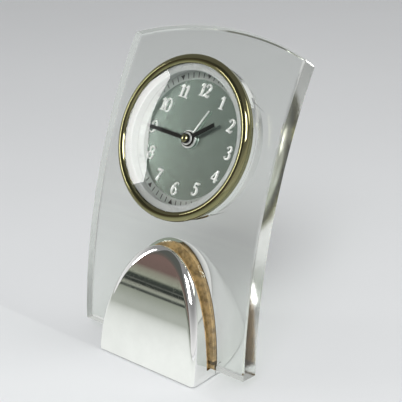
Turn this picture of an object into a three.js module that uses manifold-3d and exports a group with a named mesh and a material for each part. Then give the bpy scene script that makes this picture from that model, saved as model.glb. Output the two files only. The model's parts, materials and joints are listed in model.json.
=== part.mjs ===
// Glass desk clock: a bent glass plate held between two cast base halves, with a round alarm clock insert.
// Millimetres, +Z up. The front looks along -Y.
// The origin is on the table, under the lower front edge of the glass.

import * as THREE from 'three';
import { mergeVertices } from 'three/addons/utils/BufferGeometryUtils.js';
import Module from 'manifold-3d';

const wasm = await Module();
wasm.setup();

const DEGREE = Math.PI / 180;

// How far a cutting tool runs past the body it cuts
const PAST = 1;

// Glass plate
const PLATE_WIDTH = 88;
const PLATE_SIDE_LENGTH = 126;
const PLATE_CROWN_RISE = 7.6;
const PLATE_THICKNESS = 8;
const PLATE_BEND_RADIUS = 250;
const PLATE_FOOT_LEAN = 4.5 * DEGREE;
const PLATE_FOOT_HEIGHT = 4.8;
const PLATE_BEND_STEPS = 20;
const PLATE_CROWN_STEPS = 16;

// Cast base halves
const BASE_WIDTH = 53;
const BASE_HEIGHT = 48;
const BASE_ARCH_POWER = 2.3;
const BASE_STEPS = 11;
const FRONT_FOOT_DEPTH = 9.1;
const FRONT_CROWN_DEPTH = 2.3;
const FRONT_TAPER_POWER = 1.5;
const FRONT_FOOT_RIM = 1.8;
const FRONT_CROWN_RIM = 3;
const FRONT_RIM_STEPS = 4;
const DOME_DEPTH = 41;
const DOME_FALL_POWER = 1.15;
const DOME_ROUND_POWER = 0.7;
const DOME_PLAN_POWER = 1.5;
const DOME_STEPS = 9;
const DOME_WALL = 2.5;
const HOLLOW_STEPS = 7;
const CASTING_TABLE_GAP = 0.5;
const PAD_THICKNESS = 0.6;
const PAD_INSET = 0.2;
const PAD_GAP = 0.2;

// Underside of the base
const FOOT_PAD_THICKNESS = 0.7;
const TIE_PLATE_THICKNESS = 1.4;
const TIE_PLATE_RIM = 2.5;
const UNDERSIDE_GAP = 0.1;
const UNDERSIDE_FIT = 0.4;
const TIE_SCREW_X = 14;
const TIE_SCREW_FRONT_Y = -2.8;
const TIE_SCREW_REAR_Y = 19;
const TIE_SCREW_RADIUS = 1.3;
const TIE_SCREW_HEAD_RADIUS = 2.6;
const TIE_SCREW_LENGTH = 9;
const TIE_SCREW_FIT = 0.15;
const TIE_BOSS_RADIUS = 3.4;

// Clock insert
const INSERT_ALONG_PLATE = 87.1;
const INSERT_TURN = -4.7 * DEGREE;
const SEAT = 0.3;
const RUN = 0.1;
const ROUND_STEPS = 40;
const WELL_STEPS = 20;
const SMALL_STEPS = 12;
const PIN_STEPS = 8;

const LENS_EDGE_THICKNESS = 1;
const LENS_CROWN = 0.9;
const LENS_STEPS = 3;

const CASE_RADIUS = 29.4;
const CASE_WALL = 2.4;
const CASE_SEAT_WALL = 0.8;
const CASE_FLANGE_WIDTH = 0.7;
const CASE_FLANGE_TOP = 2.2;
const CASE_FLANGE_CHAMFER = 0.2;
const CASE_LIP = 0.4;
const CASE_BORE_RADIUS = CASE_RADIUS - CASE_WALL;
const CASE_SEAT_RADIUS = CASE_RADIUS - CASE_SEAT_WALL;
const CASE_FLANGE_RADIUS = CASE_RADIUS + CASE_FLANGE_WIDTH;

const GRIP_RIDGES = 2;
const GRIP_TOP = -0.8;
const GRIP_PITCH = 3.1;
const GRIP_BAND_THICKNESS = 0.25;
const GRIP_RIDGE_HEIGHT = 0.3;
const GRIP_FIT = 0.2;
const HOLE_FIT = 0.35;
const GRIP_INNER_RADIUS = CASE_RADIUS + GRIP_FIT;
const GRIP_OUTER_RADIUS = GRIP_INNER_RADIUS + GRIP_BAND_THICKNESS;
const HOLE_RADIUS = GRIP_OUTER_RADIUS + GRIP_RIDGE_HEIGHT + HOLE_FIT;

const BEZEL_FIT = 0.4;
const BEZEL_WALL = 2.7;
const BEZEL_LIP = 1;
const BEZEL_LIP_THICKNESS = 0.8;
const BEZEL_LIP_EDGE = 0.2;
const BEZEL_CROWN_RISE = 1.9;
const BEZEL_FOOT_STEP = 0.4;
const BEZEL_ROUND_STEPS = 5;
const BEZEL_GROOVE_RADIUS = CASE_FLANGE_RADIUS + BEZEL_FIT;
const BEZEL_RADIUS = BEZEL_GROOVE_RADIUS + BEZEL_WALL;
const BEZEL_OPENING_RADIUS = BEZEL_GROOVE_RADIUS - BEZEL_LIP;

const DIAL_TOP = -2.7;
const DIAL_THICKNESS = 0.5;
const DIAL_HOLE_RADIUS = 2.3;
const CHAPTER_RADIUS = CASE_SEAT_RADIUS - SEAT;
const CHAPTER_FOOT_WIDTH = 1.1;
const CHAPTER_WALL_WIDTH = 0.9;
const CHAPTER_TOP_WIDTH = 1.7;
const CHAPTER_TOP_THICKNESS = 0.6;

// Hands, each height being its upper face above the plate
const HAND_THICKNESS = 0.35;
const BOSS_HEIGHT = 0.7;
const HAND_PITCH = BOSS_HEIGHT + SEAT;
const ALARM_HAND_TOP = DIAL_TOP + HAND_PITCH + RUN;
const HOUR_HAND_TOP = ALARM_HAND_TOP + HAND_PITCH;
const MINUTE_HAND_TOP = HOUR_HAND_TOP + HAND_PITCH;
const MINUTE_HAND = { length: 21.5, width: 1.5, top: MINUTE_HAND_TOP, angle: -90, boss: 2 };
const HOUR_HAND = { length: 14, width: 1.7, top: HOUR_HAND_TOP, angle: 52.5, boss: 2.5 };
const ALARM_HAND = { length: 14.2, width: 0.7, top: ALARM_HAND_TOP, angle: 24, boss: 3.4 };
const CAP_RADIUS = 1.7;
const CAP_HEIGHT = 0.9;
const CAP_EDGE = 0.2;
const CAP_GAP = 0.2;
const CAP_STEPS = 4;
const ARBOR_RADIUS = 0.75;
const PIPE_WALL = 0.5;

// Movement plates
const MAIN_PLATE_THICKNESS = 1.4;
const BRIDGE_THICKNESS = 0.6;
const BRIDGE_ROUND = 2;
const BRIDGE_GAP = 0.5;
const BRIDGE_SHOULDERS = [[-0.5, -0.5], [1.5, -0.5]];
const COVER_GAP = 0.4;
const COVER_THICKNESS = 1.6;
const PILLAR_RADIUS = 1.2;
const PILLAR_TIP_RADIUS = 0.7;
const PILLAR_ROOT = 0.5;
const LEFT_PILLAR = [-9.5, 5.5];
const RIGHT_PILLAR = [13.5, 1.5];
const TOP_PILLAR_Y = 12;
const SCREW_POST_RADIUS = 2;
const SCREW_POST_CIRCLE = CASE_BORE_RADIUS - 1.8 * SCREW_POST_RADIUS;
const SCREW_POST_ANGLES = [20, 160, 305];
const COVER_SCREW_RADIUS = 0.8;
const COVER_SCREW_HEAD_RADIUS = 1.7;
const COVER_SCREW_HEAD_HEIGHT = 0.8;
const COVER_SCREW_LENGTH = 5;
const COVER_SCREW_SINK = 0.05;
const COVER_SCREW_CHAMFER = 0.3;
const COVER_SCREW_CROSS = { length: 2, width: 0.4, depth: 0.4 };
const PIVOT_RADIUS = 0.4;
const MINUTE_POST_RADIUS = 0.6;
const MINUTE_POST_END = 0.2;
const MINUTE_COLLAR_RADIUS = 1.2;

// Wheels: each layer is the height of its front face, and all wheels share one thickness
const WHEEL_THICKNESS = 0.7;
const LAYER_PITCH = WHEEL_THICKNESS + SEAT;
const MAIN_PLATE_TOP = DIAL_TOP - DIAL_THICKNESS - SEAT;
const MAIN_PLATE_LOW = MAIN_PLATE_TOP - MAIN_PLATE_THICKNESS;
const ALARM_LAYER = MAIN_PLATE_LOW - SEAT;
const HOUR_LAYER = ALARM_LAYER - LAYER_PITCH;
const MINUTE_LAYER = HOUR_LAYER - LAYER_PITCH;
const DRIVE_LAYER = MINUTE_LAYER - LAYER_PITCH;
const THIRD_LAYER = DRIVE_LAYER - LAYER_PITCH;
const ALARM_MODULE = 0.48;
const MOTION_MODULE = 0.4375;
const DRIVE_MODULE = 0.305;
const THIRD_MODULE = 0.26;
const ALARM_TEETH = 30;
const ALARM_PINION_TEETH = 12;
const HOUR_TEETH = 32;
const HOUR_PINION_TEETH = 8;
const MINUTE_TEETH = 30;
const CANNON_TEETH = 10;
const SETTING_TEETH = 10;
const DRIVE_TEETH = 48;
const DRIVE_PINION_TEETH = 6;
const THIRD_TEETH = 45;
const ROTOR_TEETH = 6;
const TOOTH = { root: 0.29, tip: 0.09, addendum: 0.8, dedendum: 1.15 };

// Directions from one arbor to the next, counted from three o'clock, seen from the front
const MINUTE_WHEEL_DIRECTION = 200 * DEGREE;
const SETTING_DIRECTION = 215 * DEGREE;
const ALARM_SETTING_DIRECTION = -25 * DEGREE;
const THIRD_WHEEL_DIRECTION = 60 * DEGREE;
const ROTOR_DIRECTION = 20 * DEGREE;

// Motor, circuit, battery and controls
const MAGNET_RADIUS = 2.4;
const MAGNET_FRONT = THIRD_LAYER - LAYER_PITCH;
const MAGNET_THICKNESS = 1.2;
const STATOR_FRONT = MAGNET_FRONT - SEAT;
const STATOR_THICKNESS = 0.8;
const STATOR_BORE_RADIUS = MAGNET_RADIUS + 0.5;
const STATOR_RING = 1.3;
const STATOR_LEG_WIDTH = 2.9;
const COIL_RADIUS = 1.9;
const COIL_LENGTH = 12.8;
const COIL_END_GAP = 0.2;
const COIL_FLANGE = 0.6;
const COIL_WIRE_STEP = 0.3;
const COIL_X = 6.8;
const COIL_CASE_GAP = 8.4;
const COIL_Y = CASE_BORE_RADIUS - COIL_CASE_GAP;
const CORE_THICKNESS = 0.8;
const CORE_WIDTH = 1.8;
const CORE_OVERHANG = 2.9;
const BRIDGE_FRONT = STATOR_FRONT - STATOR_THICKNESS - BRIDGE_GAP;
const COVER_FRONT = BRIDGE_FRONT - BRIDGE_THICKNESS - COVER_GAP;
const BOARD_FRONT = MAGNET_FRONT;
const BOARD_THICKNESS = 1;
const STATOR_LEFT = COIL_X - COIL_LENGTH / 2 - STATOR_LEG_WIDTH;
const TOP_PILLAR_X = STATOR_LEFT - PILLAR_RADIUS - SEAT;
const PILLAR_SPOTS = [LEFT_PILLAR, RIGHT_PILLAR, [TOP_PILLAR_X, TOP_PILLAR_Y]];
const CRYSTAL_RADIUS = 1;
const CRYSTAL_LENGTH = 6;
const BOARD_CASE_GAP = 8;
const BOARD_TOP_GAP = 10.8;
const BOARD_LEFT = BOARD_CASE_GAP - CASE_BORE_RADIUS;
const BOARD_RIGHT = TOP_PILLAR_X - PILLAR_RADIUS - SEAT;
const BOARD_BOTTOM = -0.8;
const BOARD_TOP = CASE_BORE_RADIUS - BOARD_TOP_GAP;
const CRYSTAL_X = BOARD_LEFT + CRYSTAL_RADIUS + 0.4;
const CRYSTAL_Y = 4.2;
const CHIP_X = BOARD_LEFT + 6.4;
const CHIP_Y = 10;
const CHIP_RADIUS = 2.2;
const CHIP_HEIGHT = 0.9;
const CHIP_STEPS = 3;
const BUZZER_RADIUS = 5;
const BUZZER_X = CASE_BORE_RADIUS - BUZZER_RADIUS - 1.4;
const BUZZER_Y = -3;
const BUZZER_PLATE = 0.25;
const BUZZER_SILVER_SHARE = 0.7;
const SOUND_SLOTS = 4;
const SOUND_SLOT_PITCH = 1.8;
const SOUND_SLOT_LENGTH = 6;
const SOUND_SLOT_WIDTH = 0.7;
const BATTERY_X = 0;
const BATTERY_CASE_GAP = 10;
const BATTERY_Y = BATTERY_CASE_GAP - CASE_BORE_RADIUS;
const BATTERY_RADIUS = 5.8;
const BATTERY_THICKNESS = 5.4;
const BATTERY_REAR = COVER_FRONT + 0.4;
const BATTERY_EDGE = 1.2;
const BATTERY_SHOULDER = 0.8;
const BATTERY_CHAMFER = 0.3;
const CONTACT_THICKNESS = 0.3;
const CONTACT_WIDTH = 1.8;
const CONTACT_OVERLAP = 0.3 * CONTACT_WIDTH;
const NEGATIVE_LANE_X = -12.6;
const NEGATIVE_BEND_Y = BATTERY_Y + 6;
const NEGATIVE_TAB_Y = 5;
const POSITIVE_LANE_X = -9;
const POSITIVE_BEND_Y = BATTERY_Y + 3.5;
const HATCH_RADIUS = 7;
const HATCH_THICKNESS = 0.7;
const HATCH_LUG = 0.7;
const HATCH_LUG_THICKNESS = 0.3;
const HATCH_LUG_WIDTH = 2.4;
const HATCH_TURN = 60 * DEGREE;
const HATCH_SINK = 0.1;
const HATCH_LUG_SINK = 0.3;
const HATCH_SLOT = { length: 8, width: 1.2, depth: 0.4 };
const CRADLE_WALL = 0.9;
const CRADLE_FRONT = -8.4;
const CRADLE_GAP = 6;
const CRADLE_ROOT = 0.2;
const KNOB_RADIUS = 4;
const KNOB_HEIGHT = 3.4;
const KNOB_FLUTES = 14;
const KNOB_FLUTE_STEPS = 3;
const KNOB_FLUTE_DEPTH = 0.35;
const KNOB_SKIRT = 0.8;
const KNOB_CAP = 1;
const SETTING_ARBOR_RADIUS = 0.7;
const SWITCH_CASE_GAP = 13;
const SWITCH_X = SWITCH_CASE_GAP - CASE_BORE_RADIUS;
const SWITCH_Y = 12;
const SWITCH_TRAVEL = 3;
const SWITCH_STEM = 1.6;
const SWITCH_HEAD_LENGTH = 3;
const SWITCH_HEAD_WIDTH = 3.2;
const SWITCH_HEAD_HEIGHT = 1.2;
const SWITCH_GAP = 0.2;
const SWITCH_SLIDER = { length: 4, width: 3.6, thickness: 0.6 };
const SWITCH_RIB = { pitch: 0.9, width: 0.3, height: 0.3 };
const SWITCH_OVERLAP = 0.1;

// Materials
const MATERIALS = {
  glass: { color: 0xdfe8e4, roughness: 0.03, metalness: 0 },
  chrome: { color: 0xd4d6d2, roughness: 0.08, metalness: 1 },
  bronzePad: { color: 0x8a6a3c, roughness: 0.6, metalness: 0 },
  steel: { color: 0xb4b6b8, roughness: 0.35, metalness: 1 },
  darkFelt: { color: 0x2c2c30, roughness: 0.95, metalness: 0 },
  gilt: { color: 0xb79a4a, roughness: 0.12, metalness: 1 },
  silver: { color: 0xd9dcda, roughness: 0.18, metalness: 1 },
  dialSilver: { color: 0xa9b4ac, roughness: 0.35, metalness: 0.8 },
  blackHand: { color: 0x161817, roughness: 0.4, metalness: 0 },
  rubber: { color: 0xd8d8d2, roughness: 0.7, metalness: 0 },
  whitePlastic: { color: 0xe6e6e0, roughness: 0.45, metalness: 0 },
  blackPlastic: { color: 0x222326, roughness: 0.45, metalness: 0 },
  brass: { color: 0xc8a455, roughness: 0.25, metalness: 1 },
  copper: { color: 0xb06a3a, roughness: 0.35, metalness: 1 },
  magnet: { color: 0x3c3e42, roughness: 0.5, metalness: 0.6 },
  board: { color: 0x1f5a34, roughness: 0.6, metalness: 0 },
};

const clock = new THREE.Group();
const insert = new THREE.Group();

// Closed solids from geometry, and booleans between them

function solid(geometry) {
  const bare = geometry.clone();
  bare.deleteAttribute('normal');
  bare.deleteAttribute('uv');
  const merged = mergeVertices(bare, 1e-4);
  const index = merged.index.array;
  const triangles = [];
  for (let i = 0; i < index.length; i += 3) {
    const [a, b, c] = [index[i], index[i + 1], index[i + 2]];
    if (a !== b && b !== c && c !== a) {
      triangles.push(a, b, c);
    }
  }
  const vertices = new Float32Array(merged.attributes.position.array);
  return new wasm.Manifold(
    new wasm.Mesh({ numProp: 3, vertProperties: vertices, triVerts: new Uint32Array(triangles) }),
  );
}

function geometryOf(body) {
  const mesh = body.getMesh();
  const geometry = new THREE.BufferGeometry();
  geometry.setAttribute('position', new THREE.BufferAttribute(new Float32Array(mesh.vertProperties), 3));
  geometry.setIndex(new THREE.BufferAttribute(new Uint32Array(mesh.triVerts), 1));
  geometry.computeVertexNormals();
  return geometry;
}

function joined(first, ...others) {
  return others.reduce((sum, other) => sum.add(other), first);
}

function cut(body, ...tools) {
  return tools.reduce((rest, tool) => rest.subtract(tool), body);
}

function place(parent, name, material, body) {
  const mesh = new THREE.Mesh(geometryOf(body), new THREE.MeshStandardMaterial(MATERIALS[material]));
  mesh.name = name;
  parent.add(mesh);
}

// Simple forms along +Z

function round(radius, low, high, x = 0, y = 0, steps = SMALL_STEPS) {
  const geometry = new THREE.CylinderGeometry(radius, radius, high - low, steps);
  geometry.rotateX(Math.PI / 2);
  geometry.translate(x, y, (low + high) / 2);
  return solid(geometry);
}

function block(low, high) {
  const size = high.map((value, axis) => value - low[axis]);
  const geometry = new THREE.BoxGeometry(...size);
  geometry.translate(...low.map((value, axis) => value + size[axis] / 2));
  return solid(geometry);
}

// A block centred on the axis in X and Y
function centredBlock(length, width, low, high) {
  return block([-length / 2, -width / 2, low], [length / 2, width / 2, high]);
}

function extruded(shape, low, high, curveSegments = 8) {
  const geometry = new THREE.ExtrudeGeometry(shape, {
    depth: high - low,
    bevelEnabled: false,
    curveSegments,
  });
  geometry.translate(0, 0, low);
  return solid(geometry);
}

// A turned body: its profile of radius and height starts and ends on the axis, or closes on itself
function turned(profile, steps = ROUND_STEPS, x = 0, y = 0) {
  const geometry = new THREE.LatheGeometry(profile.map(([r, z]) => new THREE.Vector2(r, z)), steps);
  geometry.rotateX(Math.PI / 2);
  geometry.translate(x, y, 0);
  return solid(geometry);
}

function turnedRing(profile, steps = ROUND_STEPS) {
  return turned([...profile, profile[0]], steps);
}

function polar(distance, angle) {
  return [distance * Math.cos(angle), distance * Math.sin(angle)];
}

function stepped(count, from, to) {
  return Array.from({ length: count + 1 }, (unused, i) => from + ((to - from) * i) / count);
}

function outlineShape(points) {
  return new THREE.Shape(points.map(([x, y]) => new THREE.Vector2(x, y)));
}

// A convex outline with every corner rounded outwards by the radius, corners listed anticlockwise
function roundedOutline(corners, radius) {
  const shape = new THREE.Shape();
  corners.forEach(([x, y], i) => {
    const [px, py] = corners[(i + corners.length - 1) % corners.length];
    const [nx, ny] = corners[(i + 1) % corners.length];
    const start = Math.atan2(y - py, x - px) - Math.PI / 2;
    const end = Math.atan2(ny - y, nx - x) - Math.PI / 2;
    shape.absarc(x, y, radius, start, end, false);
  });
  return shape;
}

// Glass plate: a bent sheet, its line given by the distance along the front face

function plateLean(along) {
  return PLATE_FOOT_LEAN + along / PLATE_BEND_RADIUS;
}

function platePoint(along, back = 0) {
  const lean = plateLean(along);
  const y = PLATE_BEND_RADIUS * (Math.cos(PLATE_FOOT_LEAN) - Math.cos(lean)) + back * Math.cos(lean);
  const z = PLATE_FOOT_HEIGHT + PLATE_BEND_RADIUS * (Math.sin(lean) - Math.sin(PLATE_FOOT_LEAN));
  return [y, z - back * Math.sin(lean)];
}

// Where a face of the plate, this far behind the front one, lies at a height above the table
function plateFaceY(height, back = 0) {
  const radius = PLATE_BEND_RADIUS - back;
  const centreY = PLATE_BEND_RADIUS * Math.cos(PLATE_FOOT_LEAN);
  const centreZ = PLATE_FOOT_HEIGHT - PLATE_BEND_RADIUS * Math.sin(PLATE_FOOT_LEAN);
  return centreY - Math.sqrt(radius ** 2 - (height - centreZ) ** 2);
}

// Turns a frame lying on the plate's front face, with +Z straight out of it, into the clock's frame
function faceMatrix(along) {
  const [y, z] = platePoint(along);
  const matrix = new THREE.Matrix4().makeRotationX(Math.PI / 2 - plateLean(along));
  return matrix.setPosition(0, y, z);
}

function bentSheet() {
  const steps = stepped(PLATE_BEND_STEPS, 0, PLATE_SIDE_LENGTH + PLATE_CROWN_RISE + 1);
  const front = steps.map((along) => platePoint(along));
  const back = steps.map((along) => platePoint(along, PLATE_THICKNESS)).reverse();
  const geometry = new THREE.ExtrudeGeometry(outlineShape([...front, ...back].reverse()), {
    depth: PLATE_WIDTH,
    bevelEnabled: false,
  });
  const toSide = new THREE.Matrix4().makeBasis(
    new THREE.Vector3(0, 1, 0),
    new THREE.Vector3(0, 0, 1),
    new THREE.Vector3(1, 0, 0),
  );
  geometry.applyMatrix4(toSide);
  geometry.translate(-PLATE_WIDTH / 2, 0, 0);
  return solid(geometry);
}

function crownCutter() {
  const half = PLATE_WIDTH / 2;
  const radius = (half ** 2 + PLATE_CROWN_RISE ** 2) / (2 * PLATE_CROWN_RISE);
  const sweep = Math.asin(half / radius);
  const margin = 4;
  const arc = stepped(PLATE_CROWN_STEPS, -sweep, sweep).map((angle) => [
    radius * Math.sin(angle),
    radius * Math.cos(angle) - radius + PLATE_CROWN_RISE,
  ]);
  const above = PLATE_CROWN_RISE + margin;
  const outline = [
    [-half - margin, -margin],
    ...arc,
    [half + margin, -margin],
    [half + margin, above],
    [-half - margin, above],
  ];
  const geometry = new THREE.ExtrudeGeometry(outlineShape(outline.reverse()), {
    depth: 3 * PLATE_THICKNESS,
    bevelEnabled: false,
  });
  geometry.translate(0, 0, -2 * PLATE_THICKNESS);
  geometry.applyMatrix4(faceMatrix(PLATE_SIDE_LENGTH));
  return solid(geometry);
}

function insertHole() {
  const geometry = new THREE.CylinderGeometry(HOLE_RADIUS, HOLE_RADIUS, 4 * PLATE_THICKNESS, ROUND_STEPS + 8);
  geometry.rotateX(Math.PI / 2);
  geometry.applyMatrix4(faceMatrix(INSERT_ALONG_PLATE));
  return solid(geometry);
}

function glassPlate() {
  return cut(bentSheet(), crownCutter(), insertHole());
}

// Base: each half is a stack of arched rings from its face on the glass to its outer end

function archHalfWidth(height) {
  return (BASE_WIDTH / 2) * Math.sqrt(Math.max(0, 1 - (height / BASE_HEIGHT) ** BASE_ARCH_POWER));
}

// Points and outward directions of the arch, from the left foot over the crown to the right foot
function archOutline(foot, inset = 0, steps = BASE_STEPS) {
  const start = Math.asin(foot / BASE_HEIGHT);
  const angles = stepped(2 * steps, start, Math.PI - start);
  const points = angles.map((angle) => {
    const height = BASE_HEIGHT * Math.sin(angle);
    const side = angle < Math.PI / 2 ? -1 : 1;
    return [side * archHalfWidth(height), height];
  });
  points[steps] = [0, BASE_HEIGHT];
  return points.map(([x, z], i) => {
    const [ax, az] = points[Math.max(i - 1, 0)];
    const [bx, bz] = points[Math.min(i + 1, points.length - 1)];
    const length = Math.hypot(bx - ax, bz - az);
    const isFoot = i === 0 || i === points.length - 1;
    const outX = isFoot ? Math.sign(x) : -(bz - az) / length;
    const outZ = isFoot ? 0 : (bx - ax) / length;
    return [x - inset * outX, z - inset * outZ];
  });
}

// Closes a stack of arched rings with level strips across both ends and under the feet
function archedSolid(rings) {
  const count = rings[0].length;
  const positions = rings.flat(2);
  const at = (ring, point) => ring * count + point;
  const triangles = [];
  const face = (a, b, c, d) => triangles.push(a, b, c, a, c, d);
  const last = rings.length - 1;
  for (let ring = 0; ring < last; ring += 1) {
    for (let point = 0; point < count - 1; point += 1) {
      face(at(ring, point), at(ring, point + 1), at(ring + 1, point + 1), at(ring + 1, point));
    }
    face(at(ring, count - 1), at(ring, 0), at(ring + 1, 0), at(ring + 1, count - 1));
  }
  for (let point = 0; point < (count - 1) / 2; point += 1) {
    const mirror = count - 1 - point;
    face(at(0, point), at(0, mirror), at(0, mirror - 1), at(0, point + 1));
    face(at(last, point), at(last, point + 1), at(last, mirror - 1), at(last, mirror));
  }
  if (rings[last][0][1] < rings[0][0][1]) {
    triangles.reverse();
  }
  const geometry = new THREE.BufferGeometry();
  geometry.setAttribute('position', new THREE.Float32BufferAttribute(positions, 3));
  geometry.setIndex(triangles);
  return solid(geometry);
}

function frontDepth(height) {
  const share = Math.min(1, height / BASE_HEIGHT) ** FRONT_TAPER_POWER;
  return FRONT_CROWN_DEPTH + (FRONT_FOOT_DEPTH - FRONT_CROWN_DEPTH) * (1 - share);
}

const PAD_STACK = PAD_THICKNESS + 2 * PAD_GAP;

function frontRim(height) {
  return FRONT_FOOT_RIM + (FRONT_CROWN_RIM - FRONT_FOOT_RIM) * Math.min(1, height / BASE_HEIGHT);
}

// One ring of the front half: the rim turns from its side wall (0) to its front face (90 degrees)
function frontRing(turn) {
  const edge = archOutline(CASTING_TABLE_GAP);
  const inner = archOutline(CASTING_TABLE_GAP, 1);
  return edge.map(([edgeX, edgeZ], i) => {
    const inset = frontRim(edgeZ) * (1 - Math.cos(turn));
    const x = edgeX + inset * (inner[i][0] - edgeX);
    const z = edgeZ + inset * (inner[i][1] - edgeZ);
    const rim = Math.min(frontRim(z), 0.85 * (frontDepth(z) - PAD_STACK));
    return [x, plateFaceY(z) - frontDepth(z) + rim * (1 - Math.sin(turn)), z];
  });
}

function frontForm() {
  const seat = archOutline(CASTING_TABLE_GAP).map(([x, z]) => [x, plateFaceY(z) - PAD_STACK, z]);
  const turns = stepped(FRONT_RIM_STEPS, 0, Math.PI / 2);
  return archedSolid([seat, ...turns.map(frontRing)]);
}

function domeDepth(height) {
  return DOME_DEPTH * Math.max(0, 1 - (height / BASE_HEIGHT) ** DOME_FALL_POWER) ** DOME_ROUND_POWER;
}

// The dome behind the glass, or with a wall thickness the hollow inside it
function domeForm(foot, archSteps, domeSteps, wall = 0) {
  const wide = 1 - wall / (BASE_WIDTH / 2);
  const tall = 1 - (2 * wall) / BASE_HEIGHT;
  const deep = 1 - (2 * wall) / DOME_DEPTH;
  const outline = archOutline(foot, 0, archSteps);
  const rings = stepped(domeSteps, 0, Math.PI / 2).map((turn) => outline.map(([x, z]) => {
    const start = plateFaceY(z * tall, PLATE_THICKNESS) + PAD_STACK + wall;
    const depth = domeDepth(z) * deep * Math.sin(turn) ** DOME_PLAN_POWER;
    return [x * wide * Math.cos(turn), start + depth, z * tall];
  }));
  return archedSolid(rings);
}

const LEDGE_MIDDLE = PLATE_THICKNESS / 2;
const LEDGE_DROP = PLATE_THICKNESS * Math.sin(PLATE_FOOT_LEAN);
const SEAM_GAP = 0.1;
const TIE_PLATE_TOP = FOOT_PAD_THICKNESS + UNDERSIDE_GAP + TIE_PLATE_THICKNESS;
const POCKET_TOP = TIE_PLATE_TOP + UNDERSIDE_GAP;

// The step of each half that reaches under the glass
function ledge(fromY, toY, top) {
  const half = archHalfWidth(top);
  return block([-half, fromY, CASTING_TABLE_GAP], [half, toY, top]);
}

// Outline of the base's underside seen from above, drawn in from its edge
function undersideOutline(inset) {
  const front = plateFaceY(CASTING_TABLE_GAP) - frontDepth(CASTING_TABLE_GAP) + inset;
  const half = BASE_WIDTH / 2 - inset;
  const corner = Math.max(FRONT_FOOT_RIM - inset, 0.5);
  const shape = new THREE.Shape();
  shape.absarc(-half + corner, front + corner, corner, Math.PI, 1.5 * Math.PI, false);
  shape.absarc(half - corner, front + corner, corner, 1.5 * Math.PI, 2 * Math.PI, false);
  const sideEnd = PLATE_THICKNESS + PAD_STACK;
  stepped(2 * DOME_STEPS, 0, Math.PI).forEach((turn) => {
    const depth = (domeDepth(0) - inset * 2) * Math.sin(turn) ** DOME_PLAN_POWER;
    shape.lineTo(half * Math.cos(turn), sideEnd + depth);
  });
  return shape;
}

const TIE_SCREW_SPOTS = [
  [-TIE_SCREW_X, TIE_SCREW_FRONT_Y],
  [TIE_SCREW_X, TIE_SCREW_FRONT_Y],
  [-TIE_SCREW_X, TIE_SCREW_REAR_Y],
  [TIE_SCREW_X, TIE_SCREW_REAR_Y],
];

function tieScrewForm(x, y, grow) {
  const low = FOOT_PAD_THICKNESS + UNDERSIDE_GAP;
  const slope = TIE_SCREW_HEAD_RADIUS - TIE_SCREW_RADIUS;
  return turned([
    [0, low - grow],
    [TIE_SCREW_HEAD_RADIUS + grow, low - grow],
    [TIE_SCREW_RADIUS + grow, low + slope],
    [TIE_SCREW_RADIUS + grow, low + TIE_SCREW_LENGTH + 2 * grow],
    [0, low + TIE_SCREW_LENGTH + 2 * grow],
  ], SMALL_STEPS, x, y);
}

function tieScrewHoles() {
  return TIE_SCREW_SPOTS.map(([x, y]) => tieScrewForm(x, y, TIE_SCREW_FIT));
}

function tiePocket() {
  return extruded(undersideOutline(TIE_PLATE_RIM), -PAST, POCKET_TOP);
}

function frontCasting() {
  const top = PLATE_FOOT_HEIGHT - LEDGE_DROP / 2 - SEAT;
  const back = plateFaceY(CASTING_TABLE_GAP) - PAD_STACK - 1;
  const body = frontForm().add(ledge(back, LEDGE_MIDDLE - SEAM_GAP, top));
  return cut(body, tiePocket(), ...tieScrewHoles());
}

function rearCasting() {
  const top = PLATE_FOOT_HEIGHT - LEDGE_DROP - SEAT;
  const outer = domeForm(CASTING_TABLE_GAP, BASE_STEPS, DOME_STEPS);
  const front = PLATE_THICKNESS + PAD_STACK + DOME_WALL;
  const bosses = TIE_SCREW_SPOTS.slice(2).map((spot) => (
    round(TIE_BOSS_RADIUS, POCKET_TOP, BASE_HEIGHT, ...spot)
  ));
  const hollow = cut(domeForm(0.01, HOLLOW_STEPS, HOLLOW_STEPS, DOME_WALL), ...bosses);
  const body = cut(outer, hollow).add(ledge(LEDGE_MIDDLE + SEAM_GAP, front, top));
  return cut(body, tiePocket(), ...tieScrewHoles());
}

// A thin pad between the glass and one half, its two faces measured from the face of the glass
function bondingPad(glassBack, near, far) {
  const outline = archOutline(PLATE_FOOT_HEIGHT + PAD_GAP, PAD_INSET);
  const ring = (offset) => outline.map(([x, z]) => [x, plateFaceY(z, glassBack) + offset, z]);
  return archedSolid([ring(near), ring(far)]);
}

function tiePlate() {
  const low = FOOT_PAD_THICKNESS + UNDERSIDE_GAP;
  const body = extruded(undersideOutline(TIE_PLATE_RIM + UNDERSIDE_FIT), low, TIE_PLATE_TOP);
  return cut(body, ...tieScrewHoles());
}

function footPad() {
  return extruded(undersideOutline(TIE_PLATE_RIM + UNDERSIDE_FIT), 0, FOOT_PAD_THICKNESS);
}

function buildBase() {
  place(clock, 'base_front_casting', 'chrome', frontCasting());
  place(clock, 'base_rear_casting', 'chrome', rearCasting());
  place(clock, 'front_bonding_pad', 'bronzePad', bondingPad(0, -PAD_GAP - PAD_THICKNESS, -PAD_GAP));
  const rearPad = bondingPad(PLATE_THICKNESS, PAD_GAP, PAD_GAP + PAD_THICKNESS);
  place(clock, 'rear_bonding_pad', 'bronzePad', rearPad);
  place(clock, 'base_tie_plate', 'steel', tiePlate());
  place(clock, 'foot_pad', 'darkFelt', footPad());
  TIE_SCREW_SPOTS.forEach(([x, y], i) => {
    place(clock, `tie_screw_${i + 1}`, 'steel', tieScrewForm(x, y, 0));
  });
}

// Insert shell: bezel, lens, case and dial, all turned about the insert's own axis

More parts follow.
